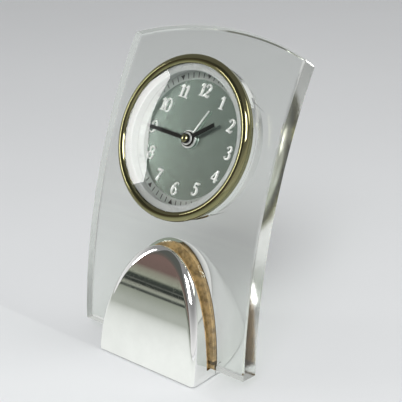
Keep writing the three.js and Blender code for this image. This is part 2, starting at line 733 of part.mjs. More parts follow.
const COVER_REAR = COVER_FRONT - COVER_THICKNESS;
const CASE_REAR = COVER_REAR + CASE_LIP;
const LENS_RADIUS = BEZEL_GROOVE_RADIUS - SEAT;
const LENS_LOW = CASE_FLANGE_TOP + SEAT;
const LENS_EDGE_TOP = LENS_LOW + LENS_EDGE_THICKNESS;
const LIP_LOW = LENS_EDGE_TOP + SEAT;
const BEZEL_HEIGHT = LIP_LOW + BEZEL_LIP_THICKNESS;
const BEZEL_WIDEST_HEIGHT = BEZEL_HEIGHT - BEZEL_CROWN_RISE;

// Bezel: its crown is part of an ellipse, from the widest radius over the top to the lip on the lens
function bezel() {
  const lipTop = LIP_LOW + BEZEL_LIP_EDGE;
  const lipAngle = Math.PI - Math.asin((lipTop - BEZEL_WIDEST_HEIGHT) / BEZEL_CROWN_RISE);
  const half = (BEZEL_RADIUS - BEZEL_OPENING_RADIUS) / (1 - Math.cos(lipAngle));
  const middle = BEZEL_RADIUS - half;
  const crown = stepped(BEZEL_ROUND_STEPS, 0, lipAngle).map((angle) => [
    middle + half * Math.cos(angle),
    BEZEL_WIDEST_HEIGHT + BEZEL_CROWN_RISE * Math.sin(angle),
  ]);
  return turnedRing([
    [BEZEL_GROOVE_RADIUS, SEAT],
    [BEZEL_RADIUS - BEZEL_FOOT_STEP, SEAT],
    ...crown,
    [BEZEL_OPENING_RADIUS, LIP_LOW],
    [BEZEL_GROOVE_RADIUS, LIP_LOW],
  ]);
}

function lens() {
  const lower = stepped(LENS_STEPS, 0, 1).map((share) => [
    LENS_RADIUS * share,
    LENS_LOW + LENS_CROWN * (1 - share ** 2),
  ]);
  const upper = lower.map(([r, z]) => [r, z + LENS_EDGE_THICKNESS]).reverse();
  return turned([...lower, ...upper], ROUND_STEPS);
}

function caseRing() {
  const step = MAIN_PLATE_TOP;
  return turnedRing([
    [CASE_BORE_RADIUS, CASE_REAR],
    [CASE_RADIUS, CASE_REAR],
    [CASE_RADIUS, SEAT],
    [CASE_FLANGE_RADIUS, SEAT + CASE_FLANGE_CHAMFER],
    [CASE_FLANGE_RADIUS, CASE_FLANGE_TOP],
    [CASE_SEAT_RADIUS, CASE_FLANGE_TOP],
    [CASE_SEAT_RADIUS, step],
    [CASE_BORE_RADIUS, step],
  ]);
}

// Ridged rubber band that grips the hole in the glass
function gripBand() {
  const inner = GRIP_INNER_RADIUS;
  const outer = GRIP_OUTER_RADIUS;
  const low = GRIP_TOP - GRIP_PITCH * GRIP_RIDGES;
  const ridges = stepped(GRIP_RIDGES - 1, low, GRIP_TOP - GRIP_PITCH).flatMap((z) => [
    [outer, z],
    [outer + GRIP_RIDGE_HEIGHT, z + GRIP_PITCH / 2],
  ]);
  return turnedRing([[inner, low], ...ridges, [outer, GRIP_TOP], [inner, GRIP_TOP]]);
}

function dial() {
  const low = DIAL_TOP - DIAL_THICKNESS;
  const radius = CASE_SEAT_RADIUS - SEAT;
  return turnedRing([
    [DIAL_HOLE_RADIUS, low],
    [radius, low],
    [radius, DIAL_TOP],
    [DIAL_HOLE_RADIUS, DIAL_TOP],
  ]);
}

// Silver ring between the dial and the lens, with a flange under the lens
function chapterRing() {
  const low = DIAL_TOP + SEAT;
  const underTop = CASE_FLANGE_TOP - CHAPTER_TOP_THICKNESS;
  return turnedRing([
    [CHAPTER_RADIUS - CHAPTER_FOOT_WIDTH, low],
    [CHAPTER_RADIUS, low],
    [CHAPTER_RADIUS, CASE_FLANGE_TOP],
    [CHAPTER_RADIUS - CHAPTER_TOP_WIDTH, CASE_FLANGE_TOP],
    [CHAPTER_RADIUS - CHAPTER_TOP_WIDTH, underTop],
    [CHAPTER_RADIUS - CHAPTER_WALL_WIDTH, underTop - CHAPTER_TOP_THICKNESS],
  ]);
}

// Hands

function hand({ length, width, top, angle, boss }, bore) {
  const blade = block([0, -width / 2, top - HAND_THICKNESS], [length, width / 2, top])
    .rotate([0, 0, 90 - angle]);
  const hub = round(boss, top - BOSS_HEIGHT, top);
  return cut(joined(hub, blade), round(bore, top - 2 * BOSS_HEIGHT, top + PAST));
}

const HOUR_PIPE_BORE = ARBOR_RADIUS + RUN;
const HOUR_PIPE_RADIUS = HOUR_PIPE_BORE + PIPE_WALL;
const ALARM_PIPE_BORE = HOUR_PIPE_RADIUS + RUN;
const ALARM_PIPE_RADIUS = ALARM_PIPE_BORE + PIPE_WALL;

function centreCap() {
  const low = MINUTE_HAND.top + CAP_GAP;
  const dome = stepped(CAP_STEPS, 0, Math.PI / 2).map((turn) => [
    CAP_RADIUS * Math.cos(turn),
    low + CAP_EDGE + (CAP_HEIGHT - CAP_EDGE) * Math.sin(turn),
  ]);
  dome[dome.length - 1][0] = 0;
  return turned([[0, low], [CAP_RADIUS, low], ...dome], SMALL_STEPS);
}

// Toothed wheels

// Outline of a wheel with one tooth centred on the phase angle
function gearOutline(teeth, module, phase) {
  const pitchAngle = (2 * Math.PI) / teeth;
  const rootRadius = module * (teeth / 2 - TOOTH.dedendum);
  const tipRadius = module * (teeth / 2 + TOOTH.addendum);
  const corners = [
    [rootRadius, -TOOTH.root],
    [tipRadius, -TOOTH.tip],
    [tipRadius, TOOTH.tip],
    [rootRadius, TOOTH.root],
  ];
  const outline = [];
  for (let tooth = 0; tooth < teeth; tooth += 1) {
    corners.forEach(([radius, share]) => outline.push(polar(radius, phase + pitchAngle * (tooth + share))));
  }
  return outline;
}

function gear(teeth, module, phase, top, [x, y]) {
  const shape = outlineShape(gearOutline(teeth, module, phase));
  return extruded(shape, top - WHEEL_THICKNESS, top).translate([x, y, 0]);
}

// Phase that puts a gap of the second wheel on a tooth of the first, along the line between them
function meshedPhase(firstPhase, firstTeeth, secondTeeth, direction) {
  return direction + Math.PI - ((firstPhase - direction) * firstTeeth) / secondTeeth - Math.PI / secondTeeth;
}

function centreDistance(firstTeeth, secondTeeth, module) {
  return ((firstTeeth + secondTeeth) * module) / 2;
}

function offset([x, y], distance, direction) {
  const [dx, dy] = polar(distance, direction);
  return [x + dx, y + dy];
}

const CENTRE = [0, 0];
const HOUR_DISTANCE = centreDistance(HOUR_TEETH, HOUR_PINION_TEETH, MOTION_MODULE);
const MINUTE_WHEEL_SPOT = offset(CENTRE, HOUR_DISTANCE, MINUTE_WHEEL_DIRECTION);
const SETTING_DISTANCE = centreDistance(SETTING_TEETH, MINUTE_TEETH, MOTION_MODULE);
const SETTING_SPOT = offset(MINUTE_WHEEL_SPOT, SETTING_DISTANCE, SETTING_DIRECTION);
const ALARM_SETTING_DISTANCE = centreDistance(ALARM_TEETH, ALARM_PINION_TEETH, ALARM_MODULE);
const ALARM_SETTING_SPOT = offset(CENTRE, ALARM_SETTING_DISTANCE, ALARM_SETTING_DIRECTION);
const THIRD_DISTANCE = centreDistance(DRIVE_TEETH, DRIVE_PINION_TEETH, DRIVE_MODULE);
const THIRD_SPOT = offset(CENTRE, THIRD_DISTANCE, THIRD_WHEEL_DIRECTION);
const ROTOR_DISTANCE = centreDistance(THIRD_TEETH, ROTOR_TEETH, THIRD_MODULE);
const ROTOR_SPOT = offset(THIRD_SPOT, ROTOR_DISTANCE, ROTOR_DIRECTION);

const FRONT_PIVOT = MAIN_PLATE_LOW + MAIN_PLATE_THICKNESS / 2;
const BRIDGE_REAR = BRIDGE_FRONT - BRIDGE_THICKNESS;

function alarmWheel() {
  const wheel = gear(ALARM_TEETH, ALARM_MODULE, ALARM_SETTING_DIRECTION, ALARM_LAYER, CENTRE);
  const pipe = round(ALARM_PIPE_RADIUS, ALARM_LAYER - WHEEL_THICKNESS, ALARM_HAND.top);
  return cut(joined(wheel, pipe), round(ALARM_PIPE_BORE, ALARM_LAYER - 2 * PAST, ALARM_HAND.top + PAST));
}

function hourWheel() {
  const phase = MINUTE_WHEEL_DIRECTION;
  const wheel = gear(HOUR_TEETH, MOTION_MODULE, phase, HOUR_LAYER, CENTRE);
  const pipe = round(HOUR_PIPE_RADIUS, HOUR_LAYER - WHEEL_THICKNESS, HOUR_HAND.top);
  return cut(joined(wheel, pipe), round(HOUR_PIPE_BORE, HOUR_LAYER - 2 * PAST, HOUR_HAND.top + PAST));
}

// Centre arbor with the cannon pinion that drives the hands
function centreArbor() {
  const pinion = gear(CANNON_TEETH, MOTION_MODULE, MINUTE_WHEEL_DIRECTION, MINUTE_LAYER, CENTRE);
  return joined(pinion, round(ARBOR_RADIUS, BRIDGE_REAR + RUN, MINUTE_HAND.top));
}

const MINUTE_WHEEL_PHASE = meshedPhase(
  MINUTE_WHEEL_DIRECTION,
  CANNON_TEETH,
  MINUTE_TEETH,
  MINUTE_WHEEL_DIRECTION,
);
const HOUR_PINION_PHASE = meshedPhase(
  MINUTE_WHEEL_DIRECTION,
  HOUR_TEETH,
  HOUR_PINION_TEETH,
  MINUTE_WHEEL_DIRECTION,
);

function minuteWheel() {
  const wheel = gear(MINUTE_TEETH, MOTION_MODULE, MINUTE_WHEEL_PHASE, MINUTE_LAYER, MINUTE_WHEEL_SPOT);
  const pinion = gear(HOUR_PINION_TEETH, MOTION_MODULE, HOUR_PINION_PHASE, HOUR_LAYER, MINUTE_WHEEL_SPOT);
  const low = MINUTE_LAYER - WHEEL_THICKNESS;
  const collar = round(MINUTE_COLLAR_RADIUS, low, HOUR_LAYER, ...MINUTE_WHEEL_SPOT);
  const bore = round(MINUTE_POST_RADIUS + RUN, low - PAST, HOUR_LAYER + PAST, ...MINUTE_WHEEL_SPOT);
  return cut(joined(wheel, pinion, collar), bore);
}

function timeSettingArbor() {
  const phase = meshedPhase(MINUTE_WHEEL_PHASE, MINUTE_TEETH, SETTING_TEETH, SETTING_DIRECTION);
  const pinion = gear(SETTING_TEETH, MOTION_MODULE, phase, MINUTE_LAYER, SETTING_SPOT);
  return joined(pinion, settingArborRod(SETTING_SPOT));
}

function alarmSettingArbor() {
  const direction = ALARM_SETTING_DIRECTION;
  const phase = meshedPhase(direction, ALARM_TEETH, ALARM_PINION_TEETH, direction);
  const pinion = gear(ALARM_PINION_TEETH, ALARM_MODULE, phase, ALARM_LAYER, ALARM_SETTING_SPOT);
  return joined(pinion, settingArborRod(ALARM_SETTING_SPOT));
}

const KNOB_FRONT = COVER_REAR - SEAT;
const KNOB_REAR = KNOB_FRONT - KNOB_HEIGHT;

function settingArborRod(spot) {
  return round(SETTING_ARBOR_RADIUS, KNOB_REAR + KNOB_CAP, FRONT_PIVOT, ...spot);
}

function driveWheel() {
  const wheel = gear(DRIVE_TEETH, DRIVE_MODULE, THIRD_WHEEL_DIRECTION, DRIVE_LAYER, CENTRE);
  return cut(wheel, round(ARBOR_RADIUS + RUN, DRIVE_LAYER - 2 * PAST, DRIVE_LAYER + PAST));
}

// Thin rod of a going-train wheel, from the bridge to the main plate
function pivotRod(spot) {
  return round(PIVOT_RADIUS, BRIDGE_REAR + RUN, FRONT_PIVOT, ...spot, PIN_STEPS);
}

function thirdWheel() {
  const direction = THIRD_WHEEL_DIRECTION;
  const pinionPhase = meshedPhase(direction, DRIVE_TEETH, DRIVE_PINION_TEETH, direction);
  const pinion = gear(DRIVE_PINION_TEETH, DRIVE_MODULE, pinionPhase, DRIVE_LAYER, THIRD_SPOT);
  const wheel = gear(THIRD_TEETH, THIRD_MODULE, ROTOR_DIRECTION, THIRD_LAYER, THIRD_SPOT);
  return joined(pinion, wheel, pivotRod(THIRD_SPOT));
}

function rotor() {
  const phase = meshedPhase(ROTOR_DIRECTION, THIRD_TEETH, ROTOR_TEETH, ROTOR_DIRECTION);
  const pinion = gear(ROTOR_TEETH, THIRD_MODULE, phase, THIRD_LAYER, ROTOR_SPOT);
  const magnet = round(MAGNET_RADIUS, MAGNET_FRONT - MAGNET_THICKNESS, MAGNET_FRONT, ...ROTOR_SPOT);
  return joined(pinion, magnet, pivotRod(ROTOR_SPOT));
}

// Movement plates

const SCREW_POSTS = SCREW_POST_ANGLES.map((angle) => polar(SCREW_POST_CIRCLE, angle * DEGREE));

function mainPlate() {
  const disc = round(CASE_BORE_RADIUS - SEAT, MAIN_PLATE_LOW, MAIN_PLATE_TOP, 0, 0, ROUND_STEPS);
  const inside = MAIN_PLATE_LOW + PILLAR_ROOT;
  const pillars = PILLAR_SPOTS.map((spot) => joined(
    round(PILLAR_RADIUS, BRIDGE_FRONT + RUN, inside, ...spot, PIN_STEPS),
    round(PILLAR_TIP_RADIUS, BRIDGE_REAR, inside, ...spot, PIN_STEPS),
  ));
  const threadEnd = COVER_REAR + COVER_SCREW_LENGTH + 2 * SEAT;
  const posts = SCREW_POSTS.map((spot) => cut(
    round(SCREW_POST_RADIUS, COVER_FRONT + RUN, inside, ...spot, PIN_STEPS),
    round(COVER_SCREW_RADIUS + RUN, COVER_FRONT - PAST, threadEnd, ...spot, PIN_STEPS),
  ));
  const postLow = MINUTE_LAYER - WHEEL_THICKNESS - MINUTE_POST_END;
  const minutePost = round(MINUTE_POST_RADIUS, postLow, inside, ...MINUTE_WHEEL_SPOT, PIN_STEPS);
  const socket = (radius, spot) => round(radius + RUN, MAIN_PLATE_LOW - PAST, FRONT_PIVOT + RUN, ...spot);
  return cut(
    joined(disc, ...pillars, ...posts, minutePost),
    round(ALARM_PIPE_RADIUS + RUN, MAIN_PLATE_LOW - PAST, MAIN_PLATE_TOP + PAST),
    socket(PIVOT_RADIUS, THIRD_SPOT),
    socket(PIVOT_RADIUS, ROTOR_SPOT),
    socket(SETTING_ARBOR_RADIUS, SETTING_SPOT),
    socket(SETTING_ARBOR_RADIUS, ALARM_SETTING_SPOT),
  );
}

function trainBridge() {
  const [left, right, top] = PILLAR_SPOTS;
  const outline = roundedOutline([left, ...BRIDGE_SHOULDERS, right, ROTOR_SPOT, top], BRIDGE_ROUND);
  const body = extruded(outline, BRIDGE_REAR, BRIDGE_FRONT, 5);
  const hole = (radius, spot) => round(radius, BRIDGE_REAR - PAST, BRIDGE_FRONT + PAST, ...spot);
  return cut(
    body,
    hole(ARBOR_RADIUS + RUN, CENTRE),
    hole(PIVOT_RADIUS + RUN, THIRD_SPOT),
    hole(PIVOT_RADIUS + RUN, ROTOR_SPOT),
    ...PILLAR_SPOTS.map((spot) => hole(PILLAR_TIP_RADIUS + RUN, spot)),
  );
}

// Stepping motor

const STATOR_LOW = STATOR_FRONT - STATOR_THICKNESS;

function stator() {
  const [rotorX, rotorY] = ROTOR_SPOT;
  const reach = STATOR_BORE_RADIUS + STATOR_RING;
  const left = STATOR_LEFT;
  const right = COIL_X + COIL_LENGTH / 2 + STATOR_LEG_WIDTH;
  const top = COIL_Y + CORE_WIDTH / 2;
  const barLow = rotorY + STATOR_RING;
  const barTop = rotorY + reach;
  const body = joined(
    round(reach, STATOR_LOW, STATOR_FRONT, rotorX, rotorY),
    block([left, barLow, STATOR_LOW], [right, barTop, STATOR_FRONT]),
    block([left, barLow, STATOR_LOW], [left + STATOR_LEG_WIDTH, top, STATOR_FRONT]),
    block([right - STATOR_LEG_WIDTH, barLow, STATOR_LOW], [right, top, STATOR_FRONT]),
  );
  return cut(body, round(STATOR_BORE_RADIUS, STATOR_LOW - PAST, STATOR_FRONT + PAST, rotorX, rotorY));
}

const CORE_LOW = STATOR_FRONT + SEAT;
const CORE_MIDDLE = CORE_LOW + CORE_THICKNESS / 2;

function coilCore() {
  const half = COIL_LENGTH / 2 + CORE_OVERHANG;
  return block(
    [COIL_X - half, COIL_Y - CORE_WIDTH / 2, CORE_LOW],
    [COIL_X + half, COIL_Y + CORE_WIDTH / 2, CORE_LOW + CORE_THICKNESS],
  );
}

// Bobbin of fine wire between two end flanges, with a slot for the core
function coil() {
  const half = COIL_LENGTH / 2 - COIL_END_GAP;
  const inner = half - COIL_FLANGE;
  const wire = COIL_RADIUS - COIL_WIRE_STEP;
  const geometry = new THREE.LatheGeometry([
    [0, -half],
    [COIL_RADIUS, -half],
    [COIL_RADIUS, -inner],
    [wire, -inner],
    [wire, inner],
    [COIL_RADIUS, inner],
    [COIL_RADIUS, half],
    [0, half],
  ].map(([r, z]) => new THREE.Vector2(r, z)), SMALL_STEPS);
  geometry.rotateZ(Math.PI / 2);
  geometry.translate(COIL_X, COIL_Y, CORE_MIDDLE);
  const slot = block(
    [COIL_X - COIL_LENGTH, COIL_Y - CORE_WIDTH / 2 - SEAT / 2, CORE_LOW - SEAT / 2],
    [COIL_X + COIL_LENGTH, COIL_Y + CORE_WIDTH / 2 + SEAT / 2, CORE_LOW + CORE_THICKNESS + SEAT / 2],
  );
  return cut(solid(geometry), slot);
}

// Circuit and battery

const BOARD_LOW = BOARD_FRONT - BOARD_THICKNESS;

function circuitBoard() {
  const body = block([BOARD_LEFT, BOARD_BOTTOM, BOARD_LOW], [BOARD_RIGHT, BOARD_TOP, BOARD_FRONT]);
  const [x, y] = PILLAR_SPOTS[0];
  return cut(body, round(PILLAR_RADIUS + SEAT, BOARD_LOW - PAST, BOARD_FRONT + PAST, x, y));
}

function crystal() {
  const geometry = new THREE.CylinderGeometry(CRYSTAL_RADIUS, CRYSTAL_RADIUS, CRYSTAL_LENGTH, SMALL_STEPS);
  geometry.translate(CRYSTAL_X, CRYSTAL_Y, BOARD_FRONT + CRYSTAL_RADIUS + SEAT / 2);
  return solid(geometry);
}

function chip() {
  const low = BOARD_FRONT + SEAT / 2;
  const dome = stepped(CHIP_STEPS, 0, Math.PI / 2).map((turn) => [
    CHIP_RADIUS * Math.cos(turn),
    low + CHIP_HEIGHT * Math.sin(turn),
  ]);
  dome[dome.length - 1][0] = 0;
  return turned([[0, low], ...dome], SMALL_STEPS, CHIP_X, CHIP_Y);
}

function buzzer() {
  const low = COVER_FRONT + SEAT / 2;
  const silver = BUZZER_RADIUS * BUZZER_SILVER_SHARE;
  return joined(
    round(BUZZER_RADIUS, low, low + BUZZER_PLATE, BUZZER_X, BUZZER_Y, WELL_STEPS),
    round(silver, low, low + 2 * BUZZER_PLATE, BUZZER_X, BUZZER_Y, WELL_STEPS),
  );
}

function battery() {
  const front = BATTERY_REAR + BATTERY_THICKNESS;
  return turned([
    [0, BATTERY_REAR],
    [BATTERY_RADIUS - BATTERY_CHAMFER, BATTERY_REAR],
    [BATTERY_RADIUS, BATTERY_REAR + BATTERY_CHAMFER],
    [BATTERY_RADIUS, front - BATTERY_SHOULDER],
    [BATTERY_RADIUS - BATTERY_EDGE, front],
    [0, front],
  ], WELL_STEPS, BATTERY_X, BATTERY_Y);
}

// A flat strip of the given width along a route of points, at one height
function strip(route, width, low) {
  const pieces = route.slice(1).map(([x, y], i) => {
    const [px, py] = route[i];
    const length = Math.hypot(x - px, y - py);
    const geometry = new THREE.BoxGeometry(length + 2 * CONTACT_OVERLAP, width, CONTACT_THICKNESS);
    geometry.rotateZ(Math.atan2(y - py, x - px));
    geometry.translate((x + px) / 2, (y + py) / 2, low + CONTACT_THICKNESS / 2);
    return solid(geometry);
  });
  return joined(...pieces);
}

// Spring arm in front of the battery, down to the board
function negativeContact() {
  const low = BATTERY_REAR + BATTERY_THICKNESS + SEAT;
  const foot = BOARD_FRONT + SEAT;
  const left = NEGATIVE_LANE_X - CONTACT_WIDTH / 2;
  const right = NEGATIVE_LANE_X + CONTACT_WIDTH / 2;
  const end = NEGATIVE_TAB_Y;
  const route = [[BATTERY_X, BATTERY_Y], [NEGATIVE_LANE_X, NEGATIVE_BEND_Y], [NEGATIVE_LANE_X, end]];
  const arm = strip(route, CONTACT_WIDTH, low);
  const tab = block([left, end, foot], [right, end + CONTACT_THICKNESS, low + CONTACT_THICKNESS]);
  const pad = block([left, end, foot], [right, end + CONTACT_WIDTH, foot + CONTACT_THICKNESS]);
  return joined(arm, tab, pad);
}

// Blade beside the battery and its lane to the board
function positiveContact() {
  const low = BOARD_FRONT + SEAT;
  const x = BATTERY_X - BATTERY_RADIUS - SEAT;
  const half = CONTACT_WIDTH / 2;
  const blade = block(
    [x - CONTACT_THICKNESS, BATTERY_Y - half, BATTERY_REAR + CONTACT_WIDTH / 2],
    [x, BATTERY_Y + half, low + CONTACT_THICKNESS],
  );
  const end = [POSITIVE_LANE_X, BOARD_BOTTOM + CONTACT_WIDTH];
  const lane = [[x - half, BATTERY_Y], [POSITIVE_LANE_X, POSITIVE_BEND_Y], end];
  return joined(strip(lane, CONTACT_WIDTH, low), blade);
}

// Rear cover and what is worked from behind

const HATCH_REAR = COVER_REAR + HATCH_SINK;
const HATCH_FRONT = HATCH_REAR + HATCH_THICKNESS;
const LUG_LOW = HATCH_REAR + HATCH_LUG_SINK;
const LUG_TOP = LUG_LOW + HATCH_LUG_THICKNESS;
const CRADLE_BORE = BATTERY_RADIUS + SEAT;
const CRADLE_RADIUS = CRADLE_BORE + CRADLE_WALL;
const HATCH_LUG_START = 90 * DEGREE;

// The two opposite lugs of the battery hatch, turned to an angle and grown for their clearance
function hatchLugs(angle, grow, low, high) {
  const reach = HATCH_RADIUS + HATCH_LUG + grow;
  return centredBlock(2 * reach, HATCH_LUG_WIDTH + 2 * grow, low, high)
    .rotate([0, 0, angle / DEGREE])
    .translate([BATTERY_X, BATTERY_Y, 0]);
}

// A round body on the battery's axis
function onBattery(radius, low, high) {
  return round(radius, low, high, BATTERY_X, BATTERY_Y, WELL_STEPS);
}

function batteryHatch() {
  const { length, width, depth } = HATCH_SLOT;
  const rim = onBattery(HATCH_RADIUS + HATCH_LUG, LUG_LOW, LUG_TOP);
  const lugs = rim.intersect(hatchLugs(HATCH_LUG_START, 0, LUG_LOW, LUG_TOP));
  const slot = centredBlock(length, width, HATCH_REAR - PAST, HATCH_REAR + depth)
    .translate([BATTERY_X, BATTERY_Y, 0]);
  return cut(joined(onBattery(HATCH_RADIUS, HATCH_REAR, HATCH_FRONT), lugs), slot);
}

function batteryWell() {
  const groove = HATCH_RADIUS + HATCH_LUG + SEAT;
  return joined(
    onBattery(CRADLE_BORE, COVER_REAR - PAST, COVER_FRONT + PAST),
    onBattery(HATCH_RADIUS + SEAT, COVER_REAR - PAST, HATCH_FRONT + SEAT / 2),
    onBattery(groove, LUG_LOW - SEAT / 2, LUG_TOP + SEAT / 2),
    hatchLugs(HATCH_LUG_START - HATCH_TURN, SEAT, COVER_REAR - PAST, LUG_TOP),
  );
}

function batteryCradle() {
  const gap = block([-CRADLE_RADIUS - PAST, -CRADLE_GAP / 2, COVER_FRONT], [0, CRADLE_GAP / 2, 0])
    .translate([BATTERY_X, BATTERY_Y, 0]);
  return cut(
    onBattery(CRADLE_RADIUS, COVER_FRONT - CRADLE_ROOT, CRADLE_FRONT),
    onBattery(CRADLE_BORE, COVER_FRONT - PAST, CRADLE_FRONT + PAST),
    gap,
  );
}

const SWITCH_SLOT_HALF = SWITCH_STEM / 2 + SEAT;

function switchSlot() {
  return block(
    [SWITCH_X - SWITCH_SLOT_HALF, SWITCH_Y - SWITCH_SLOT_HALF, COVER_REAR - PAST],
    [SWITCH_X + SWITCH_TRAVEL + SWITCH_SLOT_HALF, SWITCH_Y + SWITCH_SLOT_HALF, COVER_FRONT + PAST],
  );
}

function alarmSwitch() {
  const headFront = COVER_REAR - SWITCH_GAP;
  const headRear = headFront - SWITCH_HEAD_HEIGHT;
  const sliderLow = COVER_FRONT + SWITCH_GAP;
  const { length, width, thickness } = SWITCH_SLIDER;
  const { pitch, width: ribWidth, height } = SWITCH_RIB;
  const rib = centredBlock(ribWidth, SWITCH_HEAD_WIDTH, headRear - height, headRear + SWITCH_OVERLAP);
  const ribs = [-pitch, 0, pitch].map((x) => rib.translate([x, 0, 0]));
  const parts = joined(
    centredBlock(length, width, sliderLow, sliderLow + thickness),
    centredBlock(SWITCH_STEM, SWITCH_STEM, headFront - SWITCH_OVERLAP, sliderLow + SWITCH_OVERLAP),
    centredBlock(SWITCH_HEAD_LENGTH, SWITCH_HEAD_WIDTH, headRear, headFront),
    ...ribs,
  );
  return parts.translate([SWITCH_X, SWITCH_Y, 0]);
}

function soundSlots() {
  const reach = (SOUND_SLOT_PITCH * (SOUND_SLOTS - 1)) / 2;
  return stepped(SOUND_SLOTS - 1, -reach, reach).map((y) => (
    centredBlock(SOUND_SLOT_LENGTH, SOUND_SLOT_WIDTH, COVER_REAR - PAST, COVER_FRONT + PAST)
      .translate([BUZZER_X, BUZZER_Y + y, 0])
  ));
}

function rearCover() {
  const disc = round(CASE_BORE_RADIUS - SEAT, COVER_REAR, COVER_FRONT, 0, 0, ROUND_STEPS);
  const through = (radius, spot) => round(radius, COVER_REAR - PAST, COVER_FRONT + PAST, ...spot);
  const headRadius = COVER_SCREW_HEAD_RADIUS + SEAT / 2;
  const headTop = COVER_REAR + COVER_SCREW_HEAD_HEIGHT;
  return cut(
    cut(joined(disc, batteryCradle()), batteryWell()),
    through(SETTING_ARBOR_RADIUS + RUN, SETTING_SPOT),
    through(SETTING_ARBOR_RADIUS + RUN, ALARM_SETTING_SPOT),
    ...SCREW_POSTS.map((spot) => through(COVER_SCREW_RADIUS + RUN, spot)),
    ...SCREW_POSTS.map((spot) => round(headRadius, COVER_REAR - PAST, headTop, ...spot)),
    switchSlot(),
    ...soundSlots(),
  );
}

function coverScrew([x, y]) {
  const head = COVER_REAR + COVER_SCREW_HEAD_HEIGHT - RUN;
  const low = COVER_REAR + COVER_SCREW_SINK;
  const body = turned([
    [0, low],
    [COVER_SCREW_HEAD_RADIUS - COVER_SCREW_CHAMFER, low],
    [COVER_SCREW_HEAD_RADIUS, low + COVER_SCREW_CHAMFER],
    [COVER_SCREW_HEAD_RADIUS, head],
    [COVER_SCREW_RADIUS, head],
    [COVER_SCREW_RADIUS, low + COVER_SCREW_LENGTH],
    [0, low + COVER_SCREW_LENGTH],
  ], SMALL_STEPS, x, y);
  const { length, width, depth } = COVER_SCREW_CROSS;
  const slots = [0, 90].map((turn) => (
    centredBlock(length, width, low - PAST, low + depth).rotate([0, 0, turn]).translate([x, y, 0])
  ));
  return cut(body, ...slots);
}

// Fluted knob pressed on its arbor
function knob([x, y]) {
  const steps = KNOB_FLUTES * KNOB_FLUTE_STEPS;
  const outline = stepped(steps - 1, 0, 2 * Math.PI * (1 - 1 / steps)).map((angle) => polar(
    KNOB_RADIUS - KNOB_FLUTE_DEPTH * (0.5 + 0.5 * Math.cos(KNOB_FLUTES * angle)),
    angle,
  ));
  const skirtLow = KNOB_FRONT - KNOB_SKIRT;
  const grip = extruded(outlineShape(outline), KNOB_REAR, skirtLow).translate([x, y, 0]);
  const skirt = round(KNOB_RADIUS, skirtLow, KNOB_FRONT, x, y, WELL_STEPS);
  const bore = round(SETTING_ARBOR_RADIUS + RUN, KNOB_REAR + KNOB_CAP - RUN, KNOB_FRONT + PAST, x, y);
  return cut(joined(grip, skirt), bore);
}

function buildInsertShell() {
  place(insert, 'bezel', 'gilt', bezel());
  place(insert, 'lens', 'glass', lens());
  place(insert, 'case_ring', 'silver', caseRing());
  place(insert, 'grip_band', 'rubber', gripBand());
  place(insert, 'chapter_ring', 'silver', chapterRing());
  place(insert, 'dial', 'dialSilver', dial());
}

function buildHands() {
  place(insert, 'minute_hand', 'blackHand', hand(MINUTE_HAND, ARBOR_RADIUS + RUN));
  place(insert, 'hour_hand', 'blackHand', hand(HOUR_HAND, HOUR_PIPE_RADIUS + RUN));
  place(insert, 'alarm_hand', 'silver', hand(ALARM_HAND, ALARM_PIPE_RADIUS + RUN));
  place(insert, 'centre_cap', 'gilt', centreCap());
}

function buildWheels() {
  place(insert, 'centre_arbor', 'brass', centreArbor());
  place(insert, 'minute_wheel', 'whitePlastic', minuteWheel());
  place(insert, 'hour_wheel', 'whitePlastic', hourWheel());
  place(insert, 'alarm_wheel', 'whitePlastic', alarmWheel());
  place(insert, 'drive_wheel', 'whitePlastic', driveWheel());
  place(insert, 'third_wheel', 'whitePlastic', thirdWheel());
  place(insert, 'rotor', 'magnet', rotor());
  place(insert, 'time_setting_arbor', 'whitePlastic', timeSettingArbor());
  place(insert, 'alarm_setting_arbor', 'whitePlastic', alarmSettingArbor());
}

function buildMovement() {
  place(insert, 'main_plate', 'blackPlastic', mainPlate());
  place(insert, 'train_bridge', 'whitePlastic', trainBridge());
  place(insert, 'stator', 'steel', stator());
  place(insert, 'coil_core', 'steel', coilCore());
  place(insert, 'coil', 'copper', coil());
  place(insert, 'circuit_board', 'board', circuitBoard());
  place(insert, 'quartz_crystal', 'silver', crystal());
  place(insert, 'clock_chip', 'blackPlastic', chip());
  place(insert, 'buzzer_disc', 'brass', buzzer());
  place(insert, 'battery', 'silver', battery());
  place(insert, 'negative_contact', 'brass', negativeContact());
  place(insert, 'positive_contact', 'brass', positiveContact());
}

function buildRear() {
  place(insert, 'rear_cover', 'blackPlastic', rearCover());
  place(insert, 'battery_hatch', 'blackPlastic', batteryHatch());
  place(insert, 'alarm_switch', 'whitePlastic', alarmSwitch());
  place(insert, 'time_knob', 'blackPlastic', knob(SETTING_SPOT));
  place(insert, 'alarm_knob', 'blackPlastic', knob(ALARM_SETTING_SPOT));
  SCREW_POSTS.forEach((spot, i) => place(insert, `cover_screw_${i + 1}`, 'steel', coverScrew(spot)));
}

place(clock, 'glass_plate', 'glass', glassPlate());
buildBase();
buildInsertShell();
buildHands();
buildWheels();
buildMovement();
buildRear();

insert.rotation.z = INSERT_TURN;
const seat = new THREE.Group();
seat.applyMatrix4(faceMatrix(INSERT_ALONG_PLATE));
seat.add(insert);
clock.add(seat);

export default clock;
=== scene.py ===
import json
import math

import bmesh
import bpy
from bpy.props import FloatProperty, FloatVectorProperty, PointerProperty
from mathutils import Matrix, Vector


